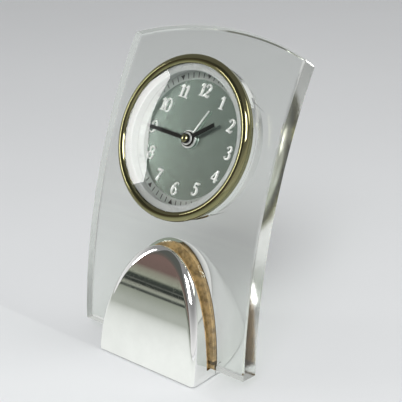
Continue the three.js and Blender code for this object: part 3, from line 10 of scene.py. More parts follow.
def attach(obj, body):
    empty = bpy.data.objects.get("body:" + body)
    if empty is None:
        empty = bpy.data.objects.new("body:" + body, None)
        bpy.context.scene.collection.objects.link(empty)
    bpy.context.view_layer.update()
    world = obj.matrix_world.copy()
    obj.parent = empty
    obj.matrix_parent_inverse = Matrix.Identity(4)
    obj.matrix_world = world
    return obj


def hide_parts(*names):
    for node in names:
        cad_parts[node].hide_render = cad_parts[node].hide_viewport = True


bl_info = {
    "name": "Glass Clock",
    "version": (1, 0, 0),
    "blender": (4, 5, 0),
    "location": "3D View > Sidebar > Glass Clock",
    "description": "Builds the finished pieces of a glass desk clock over its packed frame",
    "category": "Object",
}

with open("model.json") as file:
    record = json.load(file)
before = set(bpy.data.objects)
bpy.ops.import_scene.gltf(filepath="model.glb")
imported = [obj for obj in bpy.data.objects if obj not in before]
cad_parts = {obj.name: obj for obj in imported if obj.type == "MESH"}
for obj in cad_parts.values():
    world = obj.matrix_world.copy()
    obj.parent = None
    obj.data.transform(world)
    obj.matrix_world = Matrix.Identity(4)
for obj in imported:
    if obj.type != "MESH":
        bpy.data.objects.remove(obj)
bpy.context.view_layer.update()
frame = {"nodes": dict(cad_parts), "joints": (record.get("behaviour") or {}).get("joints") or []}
MM = 0.001


# Settings: the sizes and colours that a user would change


def length(name, description, default):
    return FloatProperty(
        name=name, description=description, default=default, min=0, precision=4, unit="LENGTH"
    )


def angle(name, description, degrees):
    return FloatProperty(
        name=name, description=description, default=math.radians(degrees), unit="ROTATION"
    )


def ratio(name, description, default, high=10):
    return FloatProperty(name=name, description=description, default=default, min=0, max=high)


def colour(name, description, default):
    return FloatVectorProperty(
        name=name, description=description, default=default, size=3, min=0, max=1, subtype="COLOR"
    )


class PlateSettings(bpy.types.PropertyGroup):
    width: length("Width", "Width of the glass plate", 0.088)
    side_length: length("Side length", "Length of the straight sides, along the bend", 0.126)
    crown_rise: length("Crown rise", "Height of the arched top above the corners", 0.0076)
    thickness: length("Thickness", "Thickness of the glass", 0.008)
    bend_radius: length("Bend radius", "Radius of the front face", 0.25)
    foot_lean: angle("Foot lean", "Lean of the glass at its foot", 4.5)
    foot_height: length("Foot height", "Height of the lower edge above the table", 0.0048)
    hole_along: length("Hole position", "Distance of the hole from the lower edge", 0.0871)
    hole_radius: length("Hole radius", "Radius of the hole for the clock insert", 0.0305)
    arris: length("Arris", "Width of the polished edge", 0.0006)
    tint: colour("Tint", "Tint of the glass", (0.885, 0.905, 0.88))


class BaseSettings(bpy.types.PropertyGroup):
    width: length("Width", "Width of both castings at the table", 0.053)
    height: length("Height", "Height of the arch", 0.048)
    arch_power: ratio("Arch fullness", "How full the arch is at its shoulders", 2.3)
    table_gap: length("Table gap", "Gap between the castings and the table", 0.0005)
    seat_gap: length("Seat gap", "Room for the pad between a casting and the glass", 0.001)
    foot_depth: length("Foot depth", "Depth of the front casting at the table", 0.009099)
    crown_depth: length("Crown depth", "Depth of the front casting at its crown", 0.0023)
    taper_power: ratio("Taper", "How late the front casting thins towards its crown", 1.5)
    rim_radius: length("Rim radius", "Radius of the front casting's rim at its crown", 0.003)
    foot_rim_radius: length("Foot rim radius", "Radius of that rim at the table", 0.0018)
    dome_depth: length("Dome depth", "Depth of the rear dome at the table", 0.041)
    dome_fall: ratio("Dome fall", "How the dome's depth falls with height", 1.15)
    dome_round: ratio("Dome round", "How round the dome's crown is", 0.7)
    dome_plan: ratio("Dome plan", "How full the dome is seen from above", 1.5)
    wall: length("Wall", "Wall thickness round the underside pocket", 0.0025)
    chrome: colour("Chrome", "Colour of the bright plating", (0.93, 0.93, 0.92))
    pad: colour("Bonding pad", "Colour of the pads against the glass", (0.70, 0.45, 0.2))


class InsertSettings(bpy.types.PropertyGroup):
    turn: angle("Turn", "How far the insert is turned in its hole", -4.7)
    bezel_radius: length("Bezel radius", "Outer radius of the bezel", 0.0332)
    opening_radius: length("Opening radius", "Radius of the bezel's opening", 0.0295)
    bezel_height: length("Bezel height", "Height of the bezel above the glass", 0.0046)
    bezel_rise: length("Bezel rise", "Height of the bezel above its widest line", 0.0019)
    gilt: colour("Gilt", "Colour of the bezel", (0.27, 0.255, 0.135))
    silver: colour("Silver", "Colour of the case", (0.84, 0.85, 0.84))
    chapter: colour("Chapter ring", "Colour of the ring round the dial", (0.55, 0.57, 0.56))
    lens_rise: length("Lens rise", "Height of the lens in its middle above its edge", 0.0013)


class DialSettings(bpy.types.PropertyGroup):
    radius: length("Radius", "Radius of the dial", 0.0283)
    numeral_radius: length("Numeral radius", "Radius at which the numerals stand", 0.0202)
    numeral_height: length("Numeral height", "Height of the numerals", 0.0054)
    mark_radius: length("Mark radius", "Radius of the minute marks", 0.02575)
    face: colour("Face", "Colour of the satin dial", (0.43, 0.53, 0.475))
    track: colour("Track", "Colour of the dial under the minute marks", (0.52, 0.56, 0.53))
    track_radius: length("Track radius", "Inner radius of that band", 0.0240)
    numeral: colour("Numerals", "Colour of the raised numerals", (0.93, 0.94, 0.92))
    ink: colour("Marks", "Colour of the minute marks", (0.004, 0.0045, 0.0045))


class HandSettings(bpy.types.PropertyGroup):
    minute_length: length("Minute hand", "Length of the minute hand", 0.0215)
    minute_width: length("Minute width", "Width of the minute hand", 0.0015)
    hour_length: length("Hour hand", "Length of the hour hand", 0.014)
    hour_width: length("Hour width", "Width of the hour hand", 0.0017)
    alarm_length: length("Alarm hand", "Length of the alarm hand", 0.0142)
    alarm_width: length("Alarm width", "Width of the alarm hand", 0.0007)
    lacquer: colour("Lacquer", "Colour of the hour and minute hands", (0.004, 0.0045, 0.0045))


class RearSettings(bpy.types.PropertyGroup):
    plastic: colour("Black plastic", "Colour of the rear cover", (0.022, 0.022, 0.024))
    light_plastic: colour("Light plastic", "Colour of the plates and wheels", (0.78, 0.77, 0.73))
    brass: colour("Brass", "Colour of the arbors and the setting knobs", (0.74, 0.55, 0.26))


class StageSettings(bpy.types.PropertyGroup):
    floor: colour("Floor", "Colour of the floor", (0.75, 0.765, 0.78))
    window: ratio("Window", "Brightness of the low panel at the left", 9.8, 100)
    key: ratio("Key lamp", "Brightness of the lamp in front at the right", 15.0, 100)
    rim: ratio("Rim lamp", "Brightness of the lamp behind at the right", 4.0, 100)
    world: ratio("World", "Strength of the surrounding light", 0.5, 2)
    lens_mm: FloatProperty(
        name="Lens", description="Focal length for a 36 mm sensor", default=96.79, min=1
    )


# Mesh helpers


def face_outwards(bm):
    bmesh.ops.recalc_face_normals(bm, faces=bm.faces)
    if bm.calc_volume(signed=True) < 0:
        bmesh.ops.reverse_faces(bm, faces=bm.faces)


def settle(bm, merge=1e-6, outward=True):
    """Closes seams and poles, and points the faces outwards."""
    bmesh.ops.remove_doubles(bm, verts=bm.verts, dist=merge)
    bmesh.ops.dissolve_degenerate(bm, edges=bm.edges, dist=merge)
    if outward:
        face_outwards(bm)


def fill_rim(bm, merge=2e-7):
    """Closes the open rim of a skin with a face."""
    bmesh.ops.contextual_create(bm, geom=[e for e in bm.edges if e.is_boundary])
    settle(bm, merge)


def cut(bm, spot, direction, snap, clear_inner=False):
    """Cuts every face along a plane."""
    bmesh.ops.bisect_plane(
        bm, geom=bm.verts[:] + bm.edges[:] + bm.faces[:], dist=snap,
        plane_co=spot, plane_no=direction, clear_inner=clear_inner,
    )


def sharp_edges(bm, sharper_than):
    return [e for e in bm.edges if len(e.link_faces) == 2 and e.calc_face_angle() > sharper_than]


def round_edges(bm, width, segments, sharper_than=math.radians(30), clamp=True):
    """Rounds every edge that is sharper than the given angle."""
    bmesh.ops.bevel(
        bm, geom=sharp_edges(bm, sharper_than), offset=width, offset_type="OFFSET",
        affect="EDGES", segments=segments, profile=0.5, material=-1, clamp_overlap=clamp,
    )


def raised(bm, faces, height):
    """Gives flat faces a thickness upwards, keeping their underside."""
    grown = bmesh.ops.extrude_face_region(bm, geom=faces, use_keep_orig=True)
    top = [g for g in grown["geom"] if isinstance(g, bmesh.types.BMVert)]
    bmesh.ops.translate(bm, verts=top, vec=(0, 0, height))
    face_outwards(bm)


def slab(outline, low, high):
    """A flat outline, given as (x, y) pairs, raised between two heights."""
    bm = bmesh.new()
    face = bm.faces.new([bm.verts.new((x, y, low)) for x, y in outline])
    raised(bm, [face], high - low)
    return bm


def spun(section, steps=144, closed=True):
    """A turned shape from its section, given as (radius, height) pairs round the local z axis."""
    bm = bmesh.new()
    verts = [bm.verts.new((r, 0, z)) for r, z in section]
    pairs = list(zip(verts, verts[1:]))
    if closed:
        pairs.append((verts[-1], verts[0]))
    edges = [bm.edges.new(pair) for pair in pairs]
    bmesh.ops.spin(
        bm, geom=verts + edges, cent=(0, 0, 0), axis=(0, 0, 1), dvec=(0, 0, 0),
        angle=math.tau, space=Matrix.Identity(4), steps=steps, use_merge=True, use_duplicate=False,
    )
    settle(bm)
    return bm


def pour(bm, whole):
    """Adds one mesh to another."""
    mesh = bpy.data.meshes.new("part")
    bm.to_mesh(mesh)
    bm.free()
    whole.from_mesh(mesh)
    bpy.data.meshes.remove(mesh)


def linked(name, bm, material=None):
    """A plain object that holds this mesh."""
    mesh = bpy.data.meshes.new(name)
    bm.to_mesh(mesh)
    bm.free()
    if material:
        mesh.materials.append(material)
    made = bpy.data.objects.new(name, mesh)
    bpy.context.scene.collection.objects.link(made)
    return made


def evaluated(made):
    """The mesh that an object's modifiers or its bevelled curve give."""
    bpy.context.view_layer.update()
    graph = bpy.context.evaluated_depsgraph_get()
    mesh = bpy.data.meshes.new_from_object(made.evaluated_get(graph))
    bm = bmesh.new()
    bm.from_mesh(mesh)
    bpy.data.meshes.remove(mesh)
    return bm


def combined(bm, tool, operation):
    """Adds one closed shape to another or cuts it away."""
    body, other = linked("body", bm), linked("tool", tool)
    step = body.modifiers.new("combine", "BOOLEAN")
    step.operation = operation
    step.object = other
    made = evaluated(body)
    for used in (body, other):
        bare = used.data
        bpy.data.objects.remove(used)
        bpy.data.meshes.remove(bare)
    settle(made, 1e-7)
    return made


def lofted(rows):
    """A closed skin over rows of points, made from a grid."""
    count = len(rows[0])
    bm = bmesh.new()
    bmesh.ops.create_grid(bm, x_segments=count - 1, y_segments=len(rows) - 1, size=1)
    for vert in bm.verts:
        column = round((vert.co.x + 1) / 2 * (count - 1))
        level = round((vert.co.y + 1) / 2 * (len(rows) - 1))
        vert.co = rows[level][column]
    settle(bm, 2e-7, outward=False)
    fill_rim(bm)
    return bm


def piece(name, bm, material, body, replaces=(), crease=math.radians(32)):
    """The finished object: its mesh in place, riding on its body."""
    for face in bm.faces:
        face.smooth = True
    for edge in sharp_edges(bm, crease):
        edge.smooth = False
    made = linked(name, bm, material)
    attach(made, body)
    if replaces:
        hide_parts(*replaces)


def dress(finish, *nodes):
    """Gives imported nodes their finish."""
    for name in nodes:
        mesh = frame["nodes"][name].data
        mesh.materials.clear()
        mesh.materials.append(finish)


def turned_place(right, out, turn, spot):
    """A place at a spot whose z axis points out, with x and y turned from right and up."""
    up = out.cross(right)
    x = right * math.cos(turn) + up * math.sin(turn)
    y = up * math.cos(turn) - right * math.sin(turn)
    place = Matrix((x, y, out)).transposed().to_4x4()
    place.translation = spot
    return place


def insert_place():
    """Where the clock insert sits: its own x to the right, y to twelve, z out of the dial."""
    joint = next(j for j in frame["joints"] if j["name"] == "minute_turn")
    out = Vector(joint["axis"]).normalized()
    turn = bpy.context.scene.clock_insert.turn
    return turned_place(Vector((1, 0, 0)), out, turn, Vector(joint["pos_m"]))


def seated(bm, clockwise=0.0):
    """A shape of the insert moved from its own axes to its place, turned to its time."""
    turn = Matrix.Rotation(-math.radians(clockwise), 4, "Z")
    bmesh.ops.transform(bm, matrix=insert_place() @ turn, verts=bm.verts)
    return bm


# Node helpers


def give(tree, socket, value):
    """Links an input to a socket, or sets it to a plain value."""
    if isinstance(value, bpy.types.NodeSocket):
        tree.links.new(value, socket)
    else:
        socket.default_value = value


def add(tree, kind, inputs=None, **settings):
    """A node of this kind. Inputs are values, or sockets that it is linked to."""
    made = tree.nodes.new(kind)
    for name, value in settings.items():
        setattr(made, name, value)
    for name, value in (inputs or {}).items():
        give(tree, made.inputs[name], value)
    return made


def maths(tree, operation, a, b=0.0, c=0.0):
    return add(tree, "ShaderNodeMath", {0: a, 1: b, 2: c}, operation=operation).outputs[0]


def span(tree, value, low, high, to_low=0.0, to_high=1.0):
    inputs = {0: value, 1: low, 2: high, 3: to_low, 4: to_high}
    return add(tree, "ShaderNodeMapRange", inputs, clamp=True).outputs[0]


def blend_colours(tree, factor, first, second):
    made = add(tree, "ShaderNodeMix", {0: factor, 6: first, 7: second}, data_type="RGBA")
    return made.outputs[2]


def noise(tree, vector, scale, detail=3.0, roughness=0.55):
    inputs = {"Vector": vector, "Scale": scale, "Detail": detail, "Roughness": roughness}
    return add(tree, "ShaderNodeTexNoise", inputs).outputs[0]


def axes(tree, vector):
    return add(tree, "ShaderNodeSeparateXYZ", {0: vector}).outputs


def from_middle(tree, vector):
    """Distance from the origin of the given coordinates."""
    return add(tree, "ShaderNodeVectorMath", {0: vector}, operation="LENGTH").outputs["Value"]


def rgba(values, gain=1.0):
    return tuple(min(1.0, v * gain) for v in values) + (1.0,)


def bare_tree(owner):
    """The emptied node tree of a material or world."""
    owner.use_nodes = True
    owner.node_tree.nodes.clear()
    return owner.node_tree


def new_group(name, inputs, outputs, draw):
    """A node group with these sockets, filled in by a drawing function."""
    tree = bpy.data.node_groups.new(name, "ShaderNodeTree")
    sockets = tree.interface
    sockets.new_socket("Vector", in_out="INPUT", socket_type="NodeSocketVector")
    kinds = {float: "NodeSocketFloat", tuple: "NodeSocketColor"}
    for socket, default in inputs.items():
        made = sockets.new_socket(socket, in_out="INPUT", socket_type=kinds[type(default)])
        made.default_value = default
    for socket in outputs:
        kind = "NodeSocketColor" if socket == "Color" else "NodeSocketFloat"
        sockets.new_socket(socket, in_out="OUTPUT", socket_type=kind)
    given = tree.nodes.new("NodeGroupInput").outputs
    out = tree.nodes.new("NodeGroupOutput").inputs
    for socket, value in zip(outputs, draw(tree, given)):
        tree.links.new(value, out[socket])
    return tree


def effect(name, inputs, outputs):
    """Turns a drawing function into one that returns its node group, built the first time."""
    def wrap(draw):
        def fetch():
            return bpy.data.node_groups.get(name) or new_group(name, inputs, outputs, draw)
        return fetch
    return wrap


@effect("Cloudy tone", {"Scale": 60.0, "Light": rgba((0.8,) * 3), "Dark": rgba((0.6,) * 3)},
        ("Color", "Mask"))
def cloudy_tone(tree, given):
    """Slow changes between two tones of one finish."""
    mask = span(tree, noise(tree, given["Vector"], given["Scale"], 4.0, 0.6), 0.36, 0.64)
    return blend_colours(tree, mask, given["Dark"], given["Light"]), mask


@effect("Fine scratches", {"Scale": 300.0}, ("Height", "Mask"))
def fine_scratches(tree, given):
    """Hairlines from wiping, in three directions."""
    total = None
    for turn, stretch in ((0.5, (1, 24, 3)), (2.1, (20, 1, 4)), (1.2, (3, 22, 1))):
        inputs = {"Vector": given["Vector"], "Axis": (0.3, 0.5, 0.8), "Angle": turn}
        turned = add(tree, "ShaderNodeVectorRotate", inputs).outputs[0]
        drawn = add(tree, "ShaderNodeVectorMath", {0: turned, 1: stretch}, operation="MULTIPLY")
        line = span(tree, noise(tree, drawn.outputs[0], given["Scale"], 2.0, 0.5), 0.66, 0.72)
        total = line if total is None else maths(tree, "MAXIMUM", total, line)
    patchy = span(tree, noise(tree, given["Vector"], 55.0, 2.0), 0.42, 0.6)
    mask = maths(tree, "MULTIPLY", total, patchy)
    return maths(tree, "MULTIPLY", mask, -1.0), mask


@effect("Handling smears", {"Scale": 30.0}, ("Mask", "Height"))
def handling_smears(tree, given):
    """Soft smears and breath marks on a polished face."""
    inputs = {"Vector": given["Vector"], "Scale": 18.0, "Detail": 1.0}
    warped = add(tree, "ShaderNodeTexNoise", inputs).outputs[1]
    inputs = {0: warped, 1: (0.02, 0.02, 0.02), 2: given["Vector"]}
    moved = add(tree, "ShaderNodeVectorMath", inputs, operation="MULTIPLY_ADD").outputs[0]
    broad = noise(tree, moved, given["Scale"], 5.0, 0.62)
    return span(tree, broad, 0.44, 0.72), noise(tree, given["Vector"], 14.0, 1.0)


@effect("Turned rings", {"Pitch": 0.0002, "Unevenness": 0.6}, ("Height", "Mask"))
def turned_rings(tree, given):
    """Fine rings left by a lathe round the local z axis."""
    x, y, z = axes(tree, given["Vector"])
    square = maths(tree, "MULTIPLY_ADD", x, x, maths(tree, "MULTIPLY", y, y))
    radius = maths(tree, "ADD", maths(tree, "SQRT", square), z)
    steps = maths(tree, "DIVIDE", radius, given["Pitch"])
    row = add(tree, "ShaderNodeCombineXYZ", {0: steps}).outputs[0]
    inputs = {"Vector": row, "Scale": 1.0, "Detail": 2.0}
    mask = add(tree, "ShaderNodeTexNoise", inputs).outputs[0]
    wave = maths(tree, "SINE", maths(tree, "MULTIPLY", steps, math.tau))
    even = maths(tree, "MULTIPLY", wave, 0.3)
    return maths(tree, "MULTIPLY_ADD", mask, given["Unevenness"], even), mask


@effect("Moulded grain", {"Scale": 2200.0}, ("Height", "Mask"))
def moulded_grain(tree, given):
    """The pebbled skin of an injection moulding."""
    inputs = {"Vector": given["Vector"], "Scale": given["Scale"]}
    cells = add(tree, "ShaderNodeTexVoronoi", inputs).outputs[0]
    fine = noise(tree, given["Vector"], given["Scale"], 3.0, 0.6)
    mask = span(tree, noise(tree, given["Vector"], 120.0, 4.0, 0.6), 0.35, 0.65)
    return maths(tree, "MULTIPLY_ADD", cells, 0.6, fine), mask


@effect("Settled dust", {"Amount": 0.4}, ("Mask",))
def settled_dust(tree, given):
    """Specks on the faces that look upwards."""
    facing = axes(tree, add(tree, "ShaderNodeNewGeometry").outputs["Normal"])[2]
    specks = span(tree, noise(tree, given["Vector"], 1900.0, 1.0), 0.7, 0.78)
    film = span(tree, noise(tree, given["Vector"], 70.0, 4.0), 0.3, 0.8, 0.0, 0.25)
    both = maths(tree, "ADD", specks, film)
    lying = maths(tree, "MULTIPLY", both, span(tree, facing, 0.2, 0.95))
    return (maths(tree, "MULTIPLY", lying, given["Amount"]),)


@effect("Edge waves", {"Reach": 0.044}, ("Height", "Mask"))
def edge_waves(tree, given):
    """The uneven polish of a plate's two side edges, in bands across the edge."""
    x, y, z = axes(tree, given["Vector"])
    across = maths(tree, "DIVIDE", maths(tree, "ABSOLUTE", x), given["Reach"])
    mask = span(tree, across, 0.986, 0.996)
    row = add(tree, "ShaderNodeCombineXYZ", {1: maths(tree, "MULTIPLY", y, 0.3), 2: z}).outputs[0]
    return maths(tree, "MULTIPLY", mask, noise(tree, row, 330.0, 3.0, 0.6)), mask


# Materials

# Depths of fine relief, in metres
SCRATCH_DEPTH = 0.000004
LATHE_DEPTH = 0.000006
PAINT_DEPTH = 0.000004
FLUTES, FLUTE_DEPTH = 240.0, 0.00006
EDGE_WAVE_DEPTH = 0.00012
# Width over which the dial's tone turns into that of the band under the minute marks
TRACK_EDGE = 0.3 * MM
METAL_DUST = (0.62, 0.6, 0.57)
PLASTIC_DUST = (0.5, 0.48, 0.45)


class Finish:
    """A material being built: its tree, its object coordinates and its main shader."""

    def __init__(self, name, centred=False):
        self.material = bpy.data.materials.new(name)
        self.tree = bare_tree(self.material)
        self.vector = add(self.tree, "ShaderNodeTexCoord").outputs["Object"]
        if centred:
            place = insert_place()
            inputs = {"Vector": self.vector, "Location": place.translation}
            inputs["Rotation"] = place.to_euler()
            mapping = add(self.tree, "ShaderNodeMapping", inputs, vector_type="TEXTURE")
            self.vector = mapping.outputs[0]
        self.shader = add(self.tree, "ShaderNodeBsdfPrincipled")
        seen = self.shader.outputs[0]
        self.output = add(self.tree, "ShaderNodeOutputMaterial", {"Surface": seen})

    def group(self, tree, **inputs):
        inputs["Vector"] = self.vector
        return add(self.tree, "ShaderNodeGroup", inputs, node_tree=tree).outputs

    def set(self, **values):
        """Sets or links inputs of the main shader."""
        for name, value in values.items():
            give(self.tree, self.shader.inputs[name.replace("_", " ")], value)

    def bump(self, height, distance, strength, before=None):
        inputs = {"Height": height, "Distance": distance, "Strength": strength}
        if before is not None:
            inputs["Normal"] = before
        return add(self.tree, "ShaderNodeBump", inputs).outputs[0]


def built_once(build):
    """Lets a material's function run once for a name. Later calls return what it made."""
    def fetch(name, *given, **named):
        return bpy.data.materials.get(name) or build(name, *given, **named)
    return fetch


def tones(tint, dark, light=1.0):
    """The light and the dark tone of a finish."""
    return [v * light for v in tint], [v * dark for v in tint]


@built_once
def plated(name, light, dark, rough=(0.04, 0.12), scratch=1.0, rings=None, coat=0.0):
    """Bright or satin metal, with smears, wiping scratches and, where turned, lathe rings."""
    made = Finish(name, centred=rings is not None)
    tone = made.group(cloudy_tone(), Scale=45.0, Light=rgba(light), Dark=rgba(dark))
    smears = made.group(handling_smears(), Scale=26.0)
    lines = made.group(fine_scratches(), Scale=260.0)
    dust = made.group(settled_dust(), Amount=0.25)
    worn = maths(made.tree, "MULTIPLY_ADD", lines["Mask"], 0.12 * scratch, smears["Mask"])
    normal = made.bump(lines["Height"], SCRATCH_DEPTH * scratch, 0.4)
    if rings is not None:
        lathe = made.group(turned_rings(), Pitch=rings)
        normal = made.bump(lathe["Height"], LATHE_DEPTH, 0.5, normal)
    made.set(
        Metallic=1.0, Coat_Weight=coat, Normal=normal,
        Base_Color=blend_colours(made.tree, dust["Mask"], tone["Color"], rgba(METAL_DUST)),
        Roughness=span(made.tree, worn, 0.0, 1.1, *rough),
    )
    return made.material


@built_once
def moulded(name, light, dark, rough=(0.35, 0.5), grain=2200.0, depth=0.00002, metal=0.0,
            gloss=0.5, dusty=0.5, cloud=80.0):
    """A moulded plastic or rubber skin, or a coat of paint."""
    made = Finish(name)
    skin = made.group(moulded_grain(), Scale=grain)
    tone = made.group(cloudy_tone(), Scale=cloud, Light=rgba(light), Dark=rgba(dark))
    lines = made.group(fine_scratches(), Scale=200.0)
    dust = made.group(settled_dust(), Amount=dusty)
    worn = maths(made.tree, "MULTIPLY_ADD", lines["Mask"], 0.3, skin["Mask"])
    made.set(
        Metallic=metal, Specular_IOR_Level=gloss,
        Base_Color=blend_colours(made.tree, dust["Mask"], tone["Color"], rgba(PLASTIC_DUST)),
        Roughness=span(made.tree, worn, 0.0, 1.3, *rough),
        Normal=made.bump(skin["Height"], depth, 0.5),
    )
    return made.material


@built_once
def clear_glass(name, tint, wave, reach=None):
    """Polished glass that lets the lamps through to what lies behind it."""
    made = Finish(name)
    tree = made.tree
    smears = made.group(handling_smears(), Scale=34.0)
    lines = made.group(fine_scratches(), Scale=180.0)
    tone = made.group(cloudy_tone(), Scale=25.0, Light=rgba(tint), Dark=rgba(tint, 0.985))
    worn = maths(tree, "MULTIPLY_ADD", lines["Mask"], 0.3, smears["Mask"])
    rough = span(tree, worn, 0.1, 1.3, 0.0, 0.012)
    normal = made.bump(smears["Height"], wave, 0.3)
    if reach is not None:
        edge = made.group(edge_waves(), Reach=reach)
        rough = maths(tree, "MULTIPLY_ADD", edge["Mask"], 0.25, rough)
        normal = made.bump(edge["Height"], EDGE_WAVE_DEPTH, 1.0, normal)
    made.set(
        Metallic=0.0, Transmission_Weight=1.0, IOR=1.5,
        Base_Color=tone["Color"], Roughness=rough, Normal=normal,
    )
    through = add(tree, "ShaderNodeBsdfTransparent", {"Color": rgba(tint)}).outputs[0]
    path = add(tree, "ShaderNodeLightPath").outputs
    seen = made.shader.outputs[0]
    for ray in ("Is Reflection Ray", "Is Shadow Ray"):
        seen = add(tree, "ShaderNodeMixShader", {0: path[ray], 1: seen, 2: through}).outputs[0]
    tree.links.new(seen, made.output.inputs["Surface"])
    return made.material


@built_once
def satin_ring(name, tint):
    """Satin silver paint with fine flutes, for the ring round the dial."""
    made = Finish(name, centred=True)
    tree = made.tree
    tone = made.group(cloudy_tone(), Scale=120.0, Light=rgba(tint), Dark=rgba(tint, 0.9))
    lathe = made.group(turned_rings(), Pitch=0.00016)
    x, y, _ = axes(tree, made.vector)
    turn = maths(tree, "ARCTAN2", y, x)
    flutes = maths(tree, "SINE", maths(tree, "MULTIPLY", turn, FLUTES))
    rings = made.bump(lathe["Height"], PAINT_DEPTH, 0.4)
    made.set(
        Metallic=0.45, Base_Color=tone["Color"],
        Roughness=span(tree, lathe["Mask"], 0.3, 0.7, 0.14, 0.24),
        Normal=made.bump(flutes, FLUTE_DEPTH, 0.9, rings),
    )
    return made.material


@built_once
def satin_dial(name, dial):
    """Silver paint with a fine turned grain, plainer under the minute marks."""
    made = Finish(name, centred=True)
    tree = made.tree
    tone = made.group(cloudy_tone(), Scale=90.0, Light=rgba(dial.face), Dark=rgba(dial.face, 0.93))
    lathe = made.group(turned_rings(), Pitch=0.00012)
    grain = made.group(moulded_grain(), Scale=5200.0)
    shade = span(tree, lathe["Mask"], 0.3, 0.7, 0.0, 0.5)
    radius = from_middle(tree, made.vector)
    track = span(tree, radius, dial.track_radius, dial.track_radius + TRACK_EDGE)
    face = blend_colours(tree, shade, tone["Color"], rgba(dial.face, 0.9))
    pebbled = made.bump(grain["Height"], PAINT_DEPTH, 0.4)
    made.set(
        Base_Color=blend_colours(tree, track, face, rgba(dial.track)),
        Metallic=span(tree, track, 0.0, 1.0, 0.85, 0.5),
        Roughness=span(tree, lathe["Mask"], 0.3, 0.7, 0.14, 0.19),
        Normal=made.bump(lathe["Height"], PAINT_DEPTH, 0.4, pebbled),
    )
    return made.material


def bright_chrome():
    tint = bpy.context.scene.clock_base.chrome
    return plated("Bright chrome", *tones(tint, 0.93), rough=(0.02, 0.08))


def gilt():
    tint = bpy.context.scene.clock_insert.gilt
    return plated("Polished gilt", *tones(tint, 0.9), rough=(0.05, 0.12), scratch=0.7)


def turned_silver():
    tint = bpy.context.scene.clock_insert.silver
    rough = (0.1, 0.2)
    return plated("Turned silver", *tones(tint, 0.9), rough=rough, scratch=0.7, rings=0.00022)


def steel():
    light, dark = (0.62, 0.62, 0.61), (0.5, 0.5, 0.5)
    return plated("Zinc plated steel", light, dark, rough=(0.18, 0.34), scratch=1.4)


def brass():
    tint = bpy.context.scene.clock_rear.brass
    return plated("Turned brass", *tones(tint, 0.82), rough=(0.14, 0.3), scratch=1.2)


def copper():
    light, dark = (0.72, 0.33, 0.16), (0.55, 0.22, 0.1)
    return plated("Enamelled copper", light, dark, rough=(0.2, 0.35), coat=0.4)


def magnet():
    light, dark = (0.42, 0.42, 0.44), (0.3, 0.3, 0.32)
    return plated("Nickelled magnet", light, dark, rough=(0.25, 0.4), scratch=1.4)


def numeral_silver():
    tint = bpy.context.scene.clock_dial.numeral
    return moulded(
        "Numeral silver", *tones(tint, 0.95), rough=(0.24, 0.36), grain=3200.0, depth=0.000003,
        metal=0.6, dusty=0.05,
    )


def printed_ink():
    tint = bpy.context.scene.clock_dial.ink
    return moulded(
        "Printed ink", *tones(tint, 1.0, 1.6), grain=3000.0, depth=0.000004, gloss=0.4, dusty=0.05
    )


def black_lacquer():
    tint = bpy.context.scene.clock_hands.lacquer
    return moulded(
        "Black lacquer", *tones(tint, 1.0, 1.5), rough=(0.42, 0.56), grain=3600.0, depth=0.000003,
        gloss=0.12, dusty=0.03,
    )


def black_plastic():
    tint = bpy.context.scene.clock_rear.plastic
    return moulded("Black plastic", *tones(tint, 1.0, 1.5), rough=(0.38, 0.55))


def light_plastic():
    tint = bpy.context.scene.clock_rear.light_plastic
    rough = (0.3, 0.45)
    return moulded("Light plastic", *tones(tint, 0.9), rough=rough, grain=2600.0, depth=0.00001)


def grip_silver():
    return moulded(
        "Silvered grip", (0.92, 0.90, 0.85), (0.80, 0.77, 0.70), rough=(0.07, 0.16),
        grain=1500.0, depth=0.000006, metal=0.95,
    )


def felt():
    light, dark = (0.035, 0.036, 0.038), (0.015, 0.015, 0.017)
    return moulded("Foot felt", light, dark, rough=(0.9, 1.0), grain=1500.0, depth=0.00012)


def bonding_pad():
    tint = bpy.context.scene.clock_base.pad
    return moulded(
        "Bonding pad", *tones(tint, 0.4), rough=(0.12, 0.3), grain=520.0, depth=0.0002,
        gloss=0.7, cloud=420.0,
    )


def circuit_laminate():
    light, dark = (0.05, 0.2, 0.1), (0.03, 0.13, 0.07)
    rough = (0.25, 0.4)
    return moulded("Circuit laminate", light, dark, rough=rough, grain=2400.0, depth=0.000008)


# The glass plate

# Rows and upright cuts that let the flat plate bend smoothly
PLATE_ROWS = 44
PLATE_CUTS = (8 * MM, 16 * MM, 24 * MM, 31 * MM, 37.5 * MM)
# The hole's rim is kept round, and this eases off outwards, in shares of the hole's radius
ROUND_END, ROUND_EASE = 1.45, 0.445


def plate_point(plate, along, back):
    """A point of the bent plate, from its distance along the front face and its depth."""
    lean = plate.foot_lean + along / plate.bend_radius
    forward = plate.bend_radius * (math.cos(plate.foot_lean) - math.cos(lean))
    z = plate.foot_height + plate.bend_radius * (math.sin(lean) - math.sin(plate.foot_lean))
    return forward + back * math.cos(lean), z - back * math.sin(lean)


def plate_face_y(plate, z, back=0.0):
    """How far back a face of the bent plate is at a height."""
    centre_y = plate.bend_radius * math.cos(plate.foot_lean)
    centre_z = plate.foot_height - plate.bend_radius * math.sin(plate.foot_lean)
    return centre_y - math.sqrt((plate.bend_radius - back) ** 2 - (z - centre_z) ** 2)


